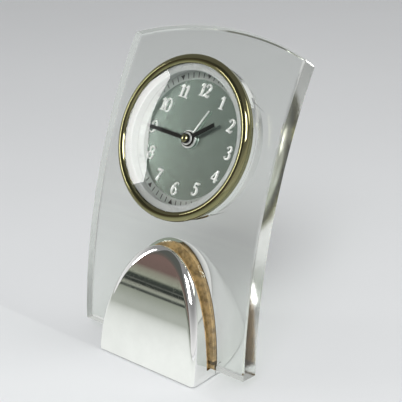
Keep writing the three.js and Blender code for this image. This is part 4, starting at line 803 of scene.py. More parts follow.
def half_plate(bm, plate, side, hole_steps=48, arch_steps=24):
    """One half of the flat plate, up to the line through the middle of the hole."""
    half = plate.width / 2
    arch_radius = (half**2 + plate.crown_rise**2) / (2 * plate.crown_rise)
    reach = math.asin(half / arch_radius)
    points = [(0, 0), (half, 0)]
    for step in range(arch_steps + 1):
        turn = reach * (1 - step / arch_steps)
        drop = arch_radius * (1 - math.cos(turn))
        points.append((arch_radius * math.sin(turn), plate.side_length + plate.crown_rise - drop))
    for step in range(hole_steps + 1):
        turn = math.pi * step / hole_steps
        x, y = plate.hole_radius * math.sin(turn), plate.hole_radius * math.cos(turn)
        points.append((x, plate.hole_along + y))
    return bm.faces.new([bm.verts.new((side * x, y, 0)) for x, y in points])


def bend_plate(bm, plate):
    """Bends the flat plate, and keeps its hole round as seen along the insert's axis."""
    centre = Vector((0, plate.hole_along))
    for vert in bm.verts:
        x, along, depth = vert.co
        share = (Vector((x, along)) - centre).length / plate.hole_radius
        if share < ROUND_END:
            reach = (along - plate.hole_along) / (plate.bend_radius - depth)
            round_along = plate.hole_along + plate.bend_radius * math.asin(reach)
            along += (round_along - along) * min(1.0, (ROUND_END - share) / ROUND_EASE)
        vert.co.y, vert.co.z = plate_point(plate, along, depth)
    face_outwards(bm)


class OBJECT_OT_clock_plate(bpy.types.Operator):
    """Build the bent glass plate with its arched top and round hole"""

    bl_idname = "clock.plate"
    bl_label = "Glass plate"

    def execute(self, context):
        plate = context.scene.clock_plate
        bm = bmesh.new()
        half_plate(bm, plate, 1)
        half_plate(bm, plate, -1)
        bmesh.ops.remove_doubles(bm, verts=bm.verts, dist=1e-7)
        for row in range(1, PLATE_ROWS):
            along = (plate.side_length + plate.crown_rise) * row / PLATE_ROWS
            cut(bm, (0, along, 0), (0, 1, 0), 2e-5)
        for side in (-1, 1):
            for x in PLATE_CUTS:
                cut(bm, (side * x, 0, 0), (1, 0, 0), 2e-5)
        raised(bm, bm.faces[:], plate.thickness)
        bend_plate(bm, plate)
        round_edges(bm, plate.arris, 1, math.radians(40), clamp=False)
        settle(bm, 1e-7)
        glass = clear_glass("Plate glass", plate.tint, 0.00002, plate.width / 2)
        crease = math.radians(25)
        piece("plate_glass", bm, glass, "frame", ["glass_plate"], crease)
        return {"FINISHED"}


# The base

# The ledges under the glass, and the pocket for the tie plate
FRONT_LEDGE_END, FRONT_LEDGE_TOP = 3.9 * MM, 4.186 * MM
REAR_LEDGE_START, REAR_LEDGE_END, REAR_LEDGE_TOP = 4.1 * MM, 11.5 * MM, 3.872 * MM
POCKET_TOP = 2.3 * MM
# The front rim has its full radius from this share of the height, and takes this share of the depth
RIM_FULL_FROM, RIM_DEPTH_SHARE = 0.6, 0.85
# Shares at which a seat's rows are drawn in to the middle line
SEAT_SHARES = (0, 0.5, 0.9)
PAD_INSET = 1.2 * MM
PAD_FIT = 0.05 * MM
PAD_FOOT_GAP = 0.1 * MM


def arch_half_width(base, z):
    return base.width / 2 * math.sqrt(max(0.0, 1 - (z / base.height) ** base.arch_power))


def arch_row(base, inset=0.0, steps=96):
    """The arch from its left foot to its right foot, moved inwards along its own normal."""
    start = math.asin(base.table_gap / base.height)
    row = []
    for step in range(steps + 1):
        turn = math.pi - start - (math.pi - 2 * start) * step / steps
        z = base.height * math.sin(turn)
        row.append(Vector((math.copysign(arch_half_width(base, z), math.cos(turn)), z)))
    moved = []
    for index, point in enumerate(row):
        along = row[min(index + 1, steps)] - row[max(index - 1, 0)]
        normal = Vector((along.y, -along.x)).normalized()
        z = max(base.table_gap, point.y + normal.y * inset)
        moved.append(Vector((point.x + normal.x * inset, z)))
    return moved


def on_glass(plate, row, gap):
    """The arch's row at a gap behind the glass, or in front of it where the gap is below zero."""
    back = plate.thickness if gap > 0 else 0.0
    return [Vector((p.x, plate_face_y(plate, p.y, back) + gap, p.y)) for p in row]


def drawn_in(row, shares):
    """Copies of a row with its width taken down to these shares."""
    return [[Vector((p.x * share, p.y, p.z)) for p in row] for share in shares]


def front_depth(base, z):
    share = max(0.0, z / base.height) ** base.taper_power
    return base.crown_depth + (base.foot_depth - base.crown_depth) * (1 - share)


def front_rings(plate, base, turns=8):
    """Rings of the front casting, from its side round the rim to the edge of its flat front."""
    rings = []
    for step in range(turns + 1):
        turn = math.pi / 2 * step / turns
        ring = []
        for p, q in zip(arch_row(base), arch_row(base, base.rim_radius)):
            share = min(1.0, p.y / (RIM_FULL_FROM * base.height))
            radius = base.foot_rim_radius + (base.rim_radius - base.foot_rim_radius) * share
            p = p.lerp(q, (1 - math.cos(turn)) * radius / base.rim_radius)
            depth = front_depth(base, p.y)
            rim = min(radius, RIM_DEPTH_SHARE * (depth - base.seat_gap))
            y = plate_face_y(plate, p.y) - depth + rim * (1 - math.sin(turn))
            ring.append(Vector((p.x, y, p.y)))
        rings.append(ring)
    return rings


def dome_rings(plate, base, turns=36):
    """Rings of the dome, from the glass to the middle line of its back."""
    rings = []
    for step in range(1, turns + 1):
        turn = math.pi / 2 * (step / turns)
        ring = []
        for p in arch_row(base):
            fall = max(0.0, 1 - (p.y / base.height) ** base.dome_fall) ** base.dome_round
            depth = base.dome_depth * fall * math.sin(turn) ** base.dome_plan
            y = plate_face_y(plate, p.y, plate.thickness) + base.seat_gap + depth
            ring.append(Vector((p.x * math.cos(turn), y, p.y)))
        rings.append(ring)
    return rings


def underside(plate, base, inset, steps=48):
    """Outline of the whole base at the table, drawn in from its edge."""
    front = plate_face_y(plate, base.table_gap) - base.foot_depth + inset
    half = base.width / 2 - inset
    side_end = plate.thickness + base.seat_gap
    outline = [(-half, side_end), (-half, front), (half, front)]
    for step in range(steps):
        turn = math.pi * step / steps
        depth = (base.dome_depth - 2 * inset) * math.sin(turn) ** base.dome_plan
        outline.append((half * math.cos(turn), side_end + depth))
    return outline


def finish_underside(bm, plate, base, low_y, high_y, top):
    """Adds the ledge that reaches under the glass, and sinks the pocket for the tie plate."""
    half = arch_half_width(base, top)
    corners = [(-half, low_y), (half, low_y), (half, high_y), (-half, high_y)]
    bm = combined(bm, slab(corners, base.table_gap, top), "UNION")
    return combined(bm, slab(underside(plate, base, base.wall), -MM, POCKET_TOP), "DIFFERENCE")


class OBJECT_OT_clock_base(bpy.types.Operator):
    """Build the two bright castings of the base, flat at the front and domed behind"""

    bl_idname = "clock.base"
    bl_label = "Base castings"

    def execute(self, context):
        plate, base = context.scene.clock_plate, context.scene.clock_base
        seat = on_glass(plate, arch_row(base), -base.seat_gap)
        rings = front_rings(plate, base)
        rows = drawn_in(seat, SEAT_SHARES) + [seat] + rings
        bm = lofted(rows + drawn_in(rings[-1], (0.97, 0.8, 0.4, 0)))
        start = plate_face_y(plate, base.table_gap) - base.seat_gap - MM
        bm = finish_underside(bm, plate, base, start, FRONT_LEDGE_END, FRONT_LEDGE_TOP)
        piece("base_front", bm, bright_chrome(), "frame", ["base_front_casting"])

        seat = on_glass(plate, arch_row(base), base.seat_gap)
        bm = lofted(drawn_in(seat, SEAT_SHARES) + [seat] + dome_rings(plate, base))
        ledge = (REAR_LEDGE_START, REAR_LEDGE_END, REAR_LEDGE_TOP)
        bm = finish_underside(bm, plate, base, *ledge)
        piece("base_dome", bm, bright_chrome(), "frame", ["base_rear_casting"])
        return {"FINISHED"}


class OBJECT_OT_clock_fixings(bpy.types.Operator):
    """Finish the pads, the foot and the screws that hold the base together"""

    bl_idname = "clock.fixings"
    bl_label = "Base fixings"

    def execute(self, context):
        plate, base = context.scene.clock_plate, context.scene.clock_base
        near, far = (
            on_glass(plate, arch_row(base, PAD_INSET), gap)
            for gap in (PAD_FIT, base.seat_gap - PAD_FIT)
        )
        rows = drawn_in(near, SEAT_SHARES) + [near, far] + drawn_in(far, reversed(SEAT_SHARES))
        bm = lofted(rows)
        cut(bm, (0, 0, plate.foot_height + PAD_FOOT_GAP), (0, 0, 1), 1e-6, clear_inner=True)
        fill_rim(bm)
        piece("rear_pad", bm, bonding_pad(), "frame", ["rear_bonding_pad"])
        dress(bonding_pad(), "front_bonding_pad")
        dress(felt(), "foot_pad")
        dress(steel(), "base_tie_plate", "tie_screw_1", "tie_screw_2", "tie_screw_3", "tie_screw_4")
        return {"FINISHED"}


# The insert. Its heights count from the front of the glass, out of the dial

GROOVE_RADIUS = 30.5 * MM
RING_STEPS = 160
# The bezel's foot stands off the glass, drawn in from the widest line under a small chamfer
BEZEL_FOOT = 0.3 * MM
BEZEL_FOOT_INSET = 0.7 * MM
BEZEL_CHAMFER = 0.2 * MM
LIP_LOW, LIP_TOP = 3.8 * MM, 4.0 * MM
BEZEL_START = math.radians(-38)
LENS_STEPS = 128
LENS_RADIUS = 30.2 * MM
LENS_THICKNESS = 1.1 * MM
LENS_ABOVE_BEZEL = 0.4 * MM
LENS_UNDERSIDE_FLATTER = 0.2 * MM


def bezel_section(insert, steps=24):
    """The bezel's section: an ellipse from its widest line over the top to the lip on the lens."""
    widest = insert.bezel_height - insert.bezel_rise
    lip = math.pi - math.asin((LIP_TOP - widest) / insert.bezel_rise)
    reach = (insert.bezel_radius - insert.opening_radius) / (1 - math.cos(lip))
    middle = insert.bezel_radius - reach
    section = [
        (GROOVE_RADIUS, BEZEL_FOOT),
        (insert.bezel_radius - BEZEL_FOOT_INSET, BEZEL_FOOT),
        (insert.bezel_radius - BEZEL_FOOT_INSET + BEZEL_CHAMFER, BEZEL_FOOT + BEZEL_CHAMFER),
    ]
    for step in range(steps + 1):
        turn = BEZEL_START + (lip - BEZEL_START) * step / steps
        height = widest + insert.bezel_rise * math.sin(turn)
        section.append((middle + reach * math.cos(turn), height))
    return section + [(insert.opening_radius, LIP_LOW), (GROOVE_RADIUS, LIP_LOW)]


def lens_section(insert, steps=24):
    """The lens from its middle out along the underside and back over its crown."""
    crown = insert.bezel_height + LENS_ABOVE_BEZEL
    under_rise = insert.lens_rise - LENS_UNDERSIDE_FLATTER
    shares = [step / steps for step in range(steps + 1)]
    under = [(LENS_RADIUS * t, crown - LENS_THICKNESS - under_rise * t**2) for t in shares]
    over = [(LENS_RADIUS * t, crown - insert.lens_rise * t**2) for t in shares]
    return under + over[::-1]


class OBJECT_OT_clock_bezel(bpy.types.Operator):
    """Build the rounded gilt bezel and its domed lens"""

    bl_idname = "clock.bezel"
    bl_label = "Bezel and lens"

    def execute(self, context):
        insert = context.scene.clock_insert
        bm = seated(spun(bezel_section(insert), RING_STEPS))
        piece("gilt_bezel", bm, gilt(), "frame", ["bezel"])
        bm = seated(spun(lens_section(insert), LENS_STEPS, closed=False))
        lens = clear_glass("Lens glass", (0.985, 0.99, 0.985), 0.000005)
        piece("clock_lens", bm, lens, "frame", ["lens"])
        return {"FINISHED"}


# Sections of the case, its grip and the chapter ring, as (radius, height) in millimetres
CASE_SECTION = (
    (27.0, -14.0), (29.1, -14.0), (29.31, -13.91), (29.4, -13.7), (29.4, 0.3),
    (30.1, 0.5), (30.1, 2.2), (28.6, 2.2), (28.6, -3.5), (27.0, -3.5),
)
GRIP_INNER, GRIP_OUTER, GRIP_RIDGE = 29.6, 29.85, 0.3
GRIP_REAR, GRIP_LENGTH = -7.0, 6.2
CHAPTER_FOOT = ((27.2, -2.4), (28.3, -2.4), (28.3, 2.24), (29.4, 2.24), (29.4, 2.4))
CHAPTER_LIP = ((26.75, 1.5), (27.3, 1.0))
CHAPTER_EDGE_RADIUS, CHAPTER_EDGE_HEIGHT = 26.6, 1.85
CHAPTER_ROUND, CHAPTER_TURNS = 0.35, (1.57, 1.2, 0.8, 0.4, 0)


def grip_section(steps=32):
    """The grip band's section, with two rounded ridges."""
    ridges = []
    for step in range(steps + 1):
        wave = abs(math.sin(math.tau * step / steps))
        ridges.append((GRIP_OUTER + GRIP_RIDGE * wave, GRIP_REAR + GRIP_LENGTH * step / steps))
    return [(GRIP_INNER, GRIP_REAR), *ridges, (GRIP_INNER, GRIP_REAR + GRIP_LENGTH)]


def chapter_section():
    """The chapter ring's section: its foot and flange, a rounded inner edge, and its slope."""
    edge = []
    for turn in CHAPTER_TURNS:
        radius = CHAPTER_EDGE_RADIUS + CHAPTER_ROUND * (1 - math.cos(turn))
        edge.append((radius, CHAPTER_EDGE_HEIGHT + CHAPTER_ROUND * math.sin(turn)))
    return [*CHAPTER_FOOT, *edge, *CHAPTER_LIP]


class OBJECT_OT_clock_case(bpy.types.Operator):
    """Build the silvered case, its ribbed grip and the sloping chapter ring"""

    bl_idname = "clock.case"
    bl_label = "Case and chapter ring"

    def execute(self, context):
        ring = satin_ring("Satin silver ring", context.scene.clock_insert.chapter)
        for name, section, material, slot, node in (
            ("turned_case", CASE_SECTION, turned_silver(), "silver", "case_ring"),
            ("ribbed_grip", grip_section(), grip_silver(), "rubber", "grip_band"),
            ("satin_chapter_ring", chapter_section(), ring, "silver", "chapter_ring"),
        ):
            bm = seated(spun([(r * MM, z * MM) for r, z in section], RING_STEPS))
            piece(name, bm, material, "frame", [node])
        return {"FINISHED"}


# The dial

DIAL_TOP = -2.7 * MM
DIAL_THICKNESS = 0.5 * MM
DIAL_HOLE = 2.3 * MM
# Marks and numerals stand this far off the dial, so that no faces share a plane
PRINT_LIFT = 0.01 * MM
PRINT_THICKNESS = 0.03 * MM

# Strokes of the numerals, in shares of their height: x, y and half width at each point. A loop
# ends where it starts
STROKES = {
    "0": [((0, 1, 0.05), (0.235, 0.5, 0.115), (0, 0, 0.05), (-0.235, 0.5, 0.115), (0, 1, 0.05))],
    "1": [
        ((0.03, 0.95, 0.11), (0.03, 0.5, 0.12), (0.03, 0.05, 0.11)),
        ((-0.2, 0.75, 0.055), (-0.09, 0.85, 0.07), (0.03, 0.94, 0.09)),
        ((-0.17, 0.04, 0.045), (0.23, 0.04, 0.045)),
    ],
    "2": [
        ((-0.21, 0.73, 0.11), (-0.15, 0.9, 0.07), (0.02, 0.96, 0.065),
         (0.19, 0.77, 0.13), (0.1, 0.5, 0.1), (-0.1, 0.25, 0.065), (-0.26, 0.08, 0.055)),
        ((-0.26, 0.08, 0.055), (-0.06, 0.12, 0.11), (0.13, 0.07, 0.11), (0.29, 0.2, 0.04)),
    ],
    "3": [
        ((-0.19, 0.78, 0.1), (-0.08, 0.94, 0.06), (0.06, 0.95, 0.075),
         (0.17, 0.77, 0.12), (0.07, 0.6, 0.075), (-0.06, 0.54, 0.04)),
        ((-0.06, 0.54, 0.04), (0.12, 0.48, 0.08), (0.2, 0.27, 0.13),
         (0.06, 0.06, 0.08), (-0.1, 0.05, 0.06), (-0.21, 0.19, 0.105)),
    ],
    "4": [
        ((0.1, 0.96, 0.055), (-0.09, 0.64, 0.055), (-0.28, 0.31, 0.055)),
        ((-0.29, 0.28, 0.065), (0.31, 0.28, 0.065)),
        ((0.12, 0.95, 0.11), (0.12, 0.5, 0.12), (0.12, 0.05, 0.11)),
    ],
    "5": [
        ((-0.13, 0.92, 0.07), (0.07, 0.91, 0.1), (0.26, 0.97, 0.055)),
        ((-0.14, 0.92, 0.055), (-0.18, 0.57, 0.055)),
        ((-0.18, 0.57, 0.05), (0.02, 0.61, 0.085), (0.18, 0.38, 0.13),
         (0.08, 0.1, 0.09), (-0.09, 0.05, 0.06), (-0.21, 0.17, 0.1)),
    ],
    "6": [
        ((0.23, 0.86, 0.085), (0.09, 0.96, 0.055), (-0.12, 0.76, 0.095),
         (-0.215, 0.36, 0.115), (-0.1, 0.07, 0.07), (0.05, 0.04, 0.06), (0.21, 0.26, 0.105),
         (0.12, 0.5, 0.07), (-0.02, 0.56, 0.05), (-0.15, 0.46, 0.045)),
    ],
    "7": [
        ((-0.23, 0.78, 0.045), (-0.16, 0.91, 0.095), (0.05, 0.9, 0.1), (0.27, 0.94, 0.06)),
        ((0.26, 0.93, 0.05), (0.06, 0.55, 0.09), (-0.06, 0.06, 0.125)),
    ],
    "8": [
        ((0, 0.97, 0.055), (0.185, 0.77, 0.085), (0, 0.56, 0.055), (-0.185, 0.77, 0.085),
         (0, 0.97, 0.055)),
        ((0, 0.56, 0.055), (0.23, 0.28, 0.1), (0, 0.03, 0.055), (-0.23, 0.28, 0.1),
         (0, 0.56, 0.055)),
    ],
}
STROKES["9"] = [[(-x, 1 - y, w) for x, y, w in points] for points in STROKES["6"]]
# Slant of the italic, relief, and the pitch of two digits, closer where the second one is a 1
SLANT, RELIEF, PITCH, NARROW_PITCH = 0.1, 0.4, 0.5, 0.44


def stroke(points, shift):
    """One stroke as the upper half of a tube that swells and thins, flat underneath."""
    curve = bpy.data.curves.new("stroke", "CURVE")
    curve.dimensions = "3D"
    curve.bevel_depth = 1.0
    curve.bevel_resolution = 3
    curve.resolution_u = 6
    curve.use_fill_caps = True
    spline = curve.splines.new("BEZIER")
    spline.use_cyclic_u = points[0] == points[-1]
    spline.bezier_points.add(len(points) - 1 - spline.use_cyclic_u)
    for knot, (x, y, width) in zip(spline.bezier_points, points):
        knot.co = (x + shift + SLANT * (y - 0.5), y - 0.5, 0)
        knot.radius = width
        knot.handle_left_type = knot.handle_right_type = "AUTO"
    made = bpy.data.objects.new("stroke", curve)
    bpy.context.scene.collection.objects.link(made)
    bm = evaluated(made)
    bpy.data.objects.remove(made)
    bpy.data.curves.remove(curve)
    bmesh.ops.remove_doubles(bm, verts=bm.verts, dist=1e-5)
    for vert in bm.verts:
        vert.co.z = max(0.0, vert.co.z)
    face_outwards(bm)
    return bm


def numeral(text, height):
    """A raised italic numeral, centred on the origin."""
    whole = bmesh.new()
    pitch = NARROW_PITCH if "1" in text[1:] else PITCH
    for place, digit in enumerate(text):
        shift = (place - (len(text) - 1) / 2) * pitch
        for points in STROKES[digit]:
            pour(stroke(points, shift), whole)
    bmesh.ops.scale(whole, verts=whole.verts, vec=(height, height, height * RELIEF))
    return whole


def minute_mark(minute):
    """Corners of a minute's mark: a bar, or a triangle that points inwards at every fifth."""
    half_width, half_height = 0.2 * MM, 1.1 * MM
    if minute % 5:
        return (
            (-half_width, -half_height), (half_width, -half_height),
            (half_width, half_height), (-half_width, half_height),
        )
    base = half_height - half_width
    return (0, -half_height), (half_height, base), (-half_height, base)


class OBJECT_OT_clock_dial(bpy.types.Operator):
    """Build the satin dial with its raised numerals and printed minute marks"""

    bl_idname = "clock.dial"
    bl_label = "Dial"

    def execute(self, context):
        dial = context.scene.clock_dial
        low, high = DIAL_TOP - DIAL_THICKNESS, DIAL_TOP
        disc = [(DIAL_HOLE, high), (dial.radius, high), (dial.radius, low), (DIAL_HOLE, low)]
        face = satin_dial("Satin dial", dial)
        piece("satin_dial", seated(spun(disc)), face, "frame", ["dial"])

        bm = bmesh.new()
        for minute in range(60):
            turn = Matrix.Rotation(-math.tau * minute / 60, 4, "Z")
            bm.faces.new([
                bm.verts.new(turn @ Vector((x, dial.mark_radius + y, DIAL_TOP + PRINT_LIFT)))
                for x, y in minute_mark(minute)
            ])
        raised(bm, bm.faces[:], PRINT_THICKNESS)
        piece("minute_marks", seated(bm), printed_ink(), "frame")

        whole = bmesh.new()
        for hour in range(1, 13):
            bm = numeral(str(hour), dial.numeral_height)
            turn = math.tau * hour / 12
            spot = Vector((math.sin(turn), math.cos(turn), 0)) * dial.numeral_radius
            spot.z = DIAL_TOP + PRINT_LIFT
            bmesh.ops.translate(bm, verts=bm.verts, vec=spot)
            pour(bm, whole)
        piece("hour_numerals", seated(whole), numeral_silver(), "frame")
        return {"FINISHED"}


# The hands. Their angles in degrees clockwise from twelve show a quarter to two

MINUTE_AT, HOUR_AT, ALARM_AT = -90, 52.5, 24
MINUTE_TOP, HOUR_TOP, ALARM_TOP = 0.4 * MM, -0.6 * MM, -1.6 * MM
MINUTE_BOSS, HOUR_BOSS, BUSH, ALARM_BOSS = 2.0 * MM, 3.0 * MM, 2.5 * MM, 3.6 * MM
BLADE_THICKNESS = 0.35 * MM
BLADE_ROUNDING = 0.3 * BLADE_THICKNESS
BOSS_THICKNESS, BOSS_PROUD, BOSS_ROUNDING = 0.7 * MM, 0.03 * MM, 0.12 * MM
# The hour hand's boss lies lower than its blade, and a light bush stands up through it
HOUR_BOSS_DROP, BUSH_PROUD = 0.2 * MM, 0.02 * MM


def hand_blade(reach, width, top, clockwise):
    """A flat blade from the centre outwards, turned to its time."""
    half = width / 2
    corners = [(-half, 0), (half, 0), (half, reach), (-half, reach)]
    bm = slab(corners, top - BLADE_THICKNESS, top)
    round_edges(bm, BLADE_ROUNDING, 3)
    return seated(bm, clockwise)


def hand_boss(radius, top):
    """The round boss that holds a hand on its pipe."""
    low, high = top - BOSS_THICKNESS, top + BOSS_PROUD
    bm = spun([(0, low), (radius, low), (radius, high), (0, high)], 72, closed=False)
    round_edges(bm, BOSS_ROUNDING, 3)
    return seated(bm)


class OBJECT_OT_clock_hands(bpy.types.Operator):
    """Build the hour, minute and alarm hands, and give the cap at the centre its gilt finish"""

    bl_idname = "clock.hands"
    bl_label = "Hands"

    def execute(self, context):
        hands = context.scene.clock_hands
        bm = hand_blade(hands.minute_length, hands.minute_width, MINUTE_TOP, MINUTE_AT)
        pour(hand_boss(MINUTE_BOSS, MINUTE_TOP), bm)
        piece("minute_baton", bm, black_lacquer(), "minute", ["minute_hand"])
        bm = hand_blade(hands.hour_length, hands.hour_width, HOUR_TOP, HOUR_AT)
        pour(hand_boss(HOUR_BOSS, HOUR_TOP - HOUR_BOSS_DROP), bm)
        piece("hour_baton", bm, black_lacquer(), "hour", ["hour_hand"])
        bm = hand_boss(BUSH, HOUR_TOP + BUSH_PROUD)
        piece("hour_bush", bm, numeral_silver(), "hour")
        bm = hand_blade(hands.alarm_length, hands.alarm_width, ALARM_TOP, ALARM_AT)
        pour(hand_boss(ALARM_BOSS, ALARM_TOP), bm)
        piece("alarm_needle", bm, numeral_silver(), "alarm", ["alarm_hand"])
        dress(gilt(), "centre_cap")
        return {"FINISHED"}


class OBJECT_OT_clock_movement(bpy.types.Operator):
    """Finish the wheels, plates, motor and circuit inside the insert"""

    bl_idname = "clock.movement"
    bl_label = "Movement"

    def execute(self, context):
        dress(light_plastic(), "main_plate", "train_bridge", "third_wheel", "drive_wheel")
        dress(light_plastic(), "minute_wheel", "hour_wheel", "alarm_wheel")
        dress(brass(), "centre_arbor", "time_setting_arbor", "alarm_setting_arbor")
        dress(magnet(), "rotor")
        dress(steel(), "stator", "coil_core", "quartz_crystal", "battery")
        dress(copper(), "coil")
        dress(circuit_laminate(), "circuit_board")
        dress(black_plastic(), "clock_chip")
        dress(brass(), "buzzer_disc", "negative_contact", "positive_contact")
        return {"FINISHED"}


class OBJECT_OT_clock_rear(bpy.types.Operator):
    """Finish the rear cover with its knobs, hatch, switch and screws"""

    bl_idname = "clock.rear"
    bl_label = "Rear cover"

    def execute(self, context):
        dress(black_plastic(), "rear_cover", "battery_hatch", "alarm_switch")
        dress(brass(), "time_knob", "alarm_knob")
        dress(steel(), "cover_screw_1", "cover_screw_2", "cover_screw_3")
        return {"FINISHED"}


# The stage

CLOCK_MIDDLE = Vector((0, 0.02, 0.07))
# Sky brightness for rays that see it, from these heights of the ray upwards
SKY_LOW, SKY_HIGH = (0.06, 0.86), (0.5, 0.28)
CAMERA_AZIMUTH, CAMERA_LIFT, CAMERA_ROLL = 42.547, 21.436, -2.439
CAMERA_SPOT = Vector((0.276503, -0.272604, 0.220658))
WINDOW_AZIMUTH, WINDOW_LIFT = -52, 16
# Outline of the bright panel, in millimetres from its middle. Its right edge draws the crescent
WINDOW_OUTLINE = (
    (83, -114), (77, -84), (62, -54), (45, -26), (30, -1), (16, 21), (5, 42), (-6, 75), (-12, 106),
    (-13, 160), (-19, 186), (-42, 192), (-80, 130), (-102, 40), (-88, -55), (-30, -125), (40, -144),
)
# A glowing card that is no lamp: only mirrors and gloss see it, and its tones are painted
# reflections, pale close to the clock and in light and dark bands further off
CARD_AZIMUTH, CARD_DISTANCE, CARD_WIDTH, CARD_HEIGHT = -27, 1.05, 0.85, 1.9
# The lying card reaches from well in front of the clock to just in front of its base
LYING_CARD = ((-1.3, -1.3), (0.15, -1.3), (0.15, -0.0097), (-1.3, -0.0097))
CARD_LIFT = 0.0002
# Tone of the card's painted reflection close to the clock, and the distances over which its bands
# take over
CARD_NEAR_REFLECTION_TONE = (0.92, 0.95, 0.92)
CARD_NEAR, CARD_FAR = 0.04, 0.5
# The standing card's painted reflection bands, light and dark: share of the graded height, then the
# tone
CARD_GRADED_HEIGHT = 0.6
CARD_REFLECTION_BANDS = (
    (0.0, 0.42, 0.445, 0.40), (0.03, 0.40, 0.425, 0.38), (0.12, 0.29, 0.315, 0.26),
    (0.128, 0.05, 0.055, 0.05), (0.142, 0.07, 0.08, 0.07), (0.155, 0.34, 0.36, 0.30),
    (0.175, 0.28, 0.29, 0.24), (0.185, 0.04, 0.045, 0.04), (0.205, 0.03, 0.035, 0.03),
    (0.212, 0.15, 0.16, 0.14), (0.22, 0.04, 0.045, 0.04), (0.25, 0.05, 0.06, 0.05),
    (0.27, 0.32, 0.34, 0.27), (0.32, 0.26, 0.25, 0.20), (0.35, 0.17, 0.12, 0.105),
    (0.44, 0.19, 0.13, 0.115), (0.56, 0.14, 0.115, 0.1), (1.0, 0.1, 0.105, 0.095),
)


def bearing(azimuth, lift):
    """Directions away from the clock and level to the right. Azimuth 0 is straight in front."""
    azimuth, lift = math.radians(azimuth), math.radians(lift)
    level = math.cos(lift)
    away = Vector((math.sin(azimuth) * level, -math.cos(azimuth) * level, math.sin(lift)))
    return away, Vector((math.cos(azimuth), math.sin(azimuth), 0))


@built_once
def pale_floor(name, tint):
    made = Finish(name)
    tone = made.group(cloudy_tone(), Scale=6.0, Light=rgba(tint), Dark=rgba(tint, 0.985))
    made.set(Base_Color=tone["Color"], Roughness=span(made.tree, tone["Mask"], 0, 1, 0.55, 0.65))
    return made.material


def glow(tree, **inputs):
    """Ends a bare tree in a surface that only gives light."""
    light = add(tree, "ShaderNodeEmission", inputs)
    add(tree, "ShaderNodeOutputMaterial", {"Surface": light.outputs[0]})


def area_lamp(name, azimuth, lift, distance, size, brightness, tone=(1, 1, 1)):
    """A soft square lamp that faces the clock."""
    lamp = bpy.data.lights.new(name, "AREA")
    lamp.shape = "SQUARE"
    lamp.size = size
    lamp.energy = brightness * math.pi * size * size
    lamp.color = tone
    away, _ = bearing(azimuth, lift)
    made = bpy.data.objects.new(name, lamp)
    made.location = CLOCK_MIDDLE + away * distance
    made.rotation_euler = away.to_track_quat("Z", "Y").to_euler()
    made.visible_camera = False
    bpy.context.scene.collection.objects.link(made)


def window_panel(stage):
    """A bright panel at the left, drawn so that its edge gives the crescent on the lens."""
    away, side = bearing(WINDOW_AZIMUTH, WINDOW_LIFT)
    middle, rise = CLOCK_MIDDLE + away, away.cross(side)
    bm = bmesh.new()
    bm.faces.new([
        bm.verts.new(middle + side * x * MM + rise * y * MM) for x, y in WINDOW_OUTLINE
    ])
    material = bpy.data.materials.new("Window light")
    glow(bare_tree(material), Color=(1.0, 0.99, 0.97, 1.0), Strength=stage.window)
    panel = linked("window", bm, material)
    panel.visible_camera = panel.visible_transmission = False


def reflected_card():
    """A glowing card at the front left, lying and standing, that only mirrors and gloss see: its
    tones and its light and dark bands are painted reflections on the chrome and the glass.
    """
    material = bpy.data.materials.new("Painted reflection card")
    tree = bare_tree(material)
    spot = add(tree, "ShaderNodeTexCoord").outputs["Object"]
    # Painted reflection: light and dark bands by height on the standing card, pale close to the
    # clock on the lying one
    height = span(tree, axes(tree, spot)[2], 0.0, CARD_GRADED_HEIGHT)
    ramp = add(tree, "ShaderNodeValToRGB", {0: height})
    elements = ramp.color_ramp.elements
    while len(elements) < len(CARD_REFLECTION_BANDS):
        elements.new(0.5)
    for element, (share, *tone) in zip(elements, CARD_REFLECTION_BANDS):
        element.position = share
        element.color = rgba(tone)
    far = span(tree, from_middle(tree, spot), CARD_NEAR, CARD_FAR)
    glow(tree, Color=blend_colours(tree, far, rgba(CARD_NEAR_REFLECTION_TONE), ramp.outputs[0]))

    bm = bmesh.new()
    bmesh.ops.create_grid(bm, x_segments=1, y_segments=1, size=0.5)
    away, side = bearing(CARD_AZIMUTH, 0)
    for vert in bm.verts:
        rise = Vector((0, 0, (vert.co.y + 0.5) * CARD_HEIGHT))
        vert.co = away * CARD_DISTANCE + side * vert.co.x * CARD_WIDTH + rise
    bm.faces.new([bm.verts.new((x, y, CARD_LIFT)) for x, y in LYING_CARD])
    card = linked("card", bm, material)
    card.visible_camera = card.visible_diffuse = False
    card.visible_transmission = card.visible_shadow = False


def soft_studio(strength):
    """A world that lights at a plain level, and that camera, glass and metal see as a backdrop."""
    world = bpy.data.worlds.new("Soft studio")
    tree = bare_tree(world)
    path = add(tree, "ShaderNodeLightPath").outputs
    seen = maths(tree, "MAXIMUM", path["Is Camera Ray"], path["Is Transmission Ray"])
    seen = maths(tree, "MAXIMUM", seen, path["Is Glossy Ray"])
    rise = axes(tree, add(tree, "ShaderNodeTexCoord").outputs["Generated"])[2]
    backdrop = span(tree, rise, SKY_LOW[0], SKY_HIGH[0], SKY_LOW[1], SKY_HIGH[1])
    more = maths(tree, "SUBTRACT", backdrop, strength)
    inputs = {"Color": (1, 1, 1, 1), "Strength": maths(tree, "MULTIPLY_ADD", seen, more, strength)}
    ground = add(tree, "ShaderNodeBackground", inputs)
    add(tree, "ShaderNodeOutputWorld", {"Surface": ground.outputs[0]})
    return world


def photo_camera(stage):
    """The camera at the photograph's angle."""
    lens = bpy.data.cameras.new("camera")
    lens.sensor_width = 36
    lens.sensor_fit = "HORIZONTAL"
    lens.lens = stage.lens_mm
    lens.clip_start = 0.01
    away, right = bearing(CAMERA_AZIMUTH, CAMERA_LIFT)
    camera = bpy.data.objects.new("camera", lens)
    camera.matrix_world = turned_place(right, away, math.radians(CAMERA_ROLL), CAMERA_SPOT)
    bpy.context.scene.collection.objects.link(camera)
    return camera


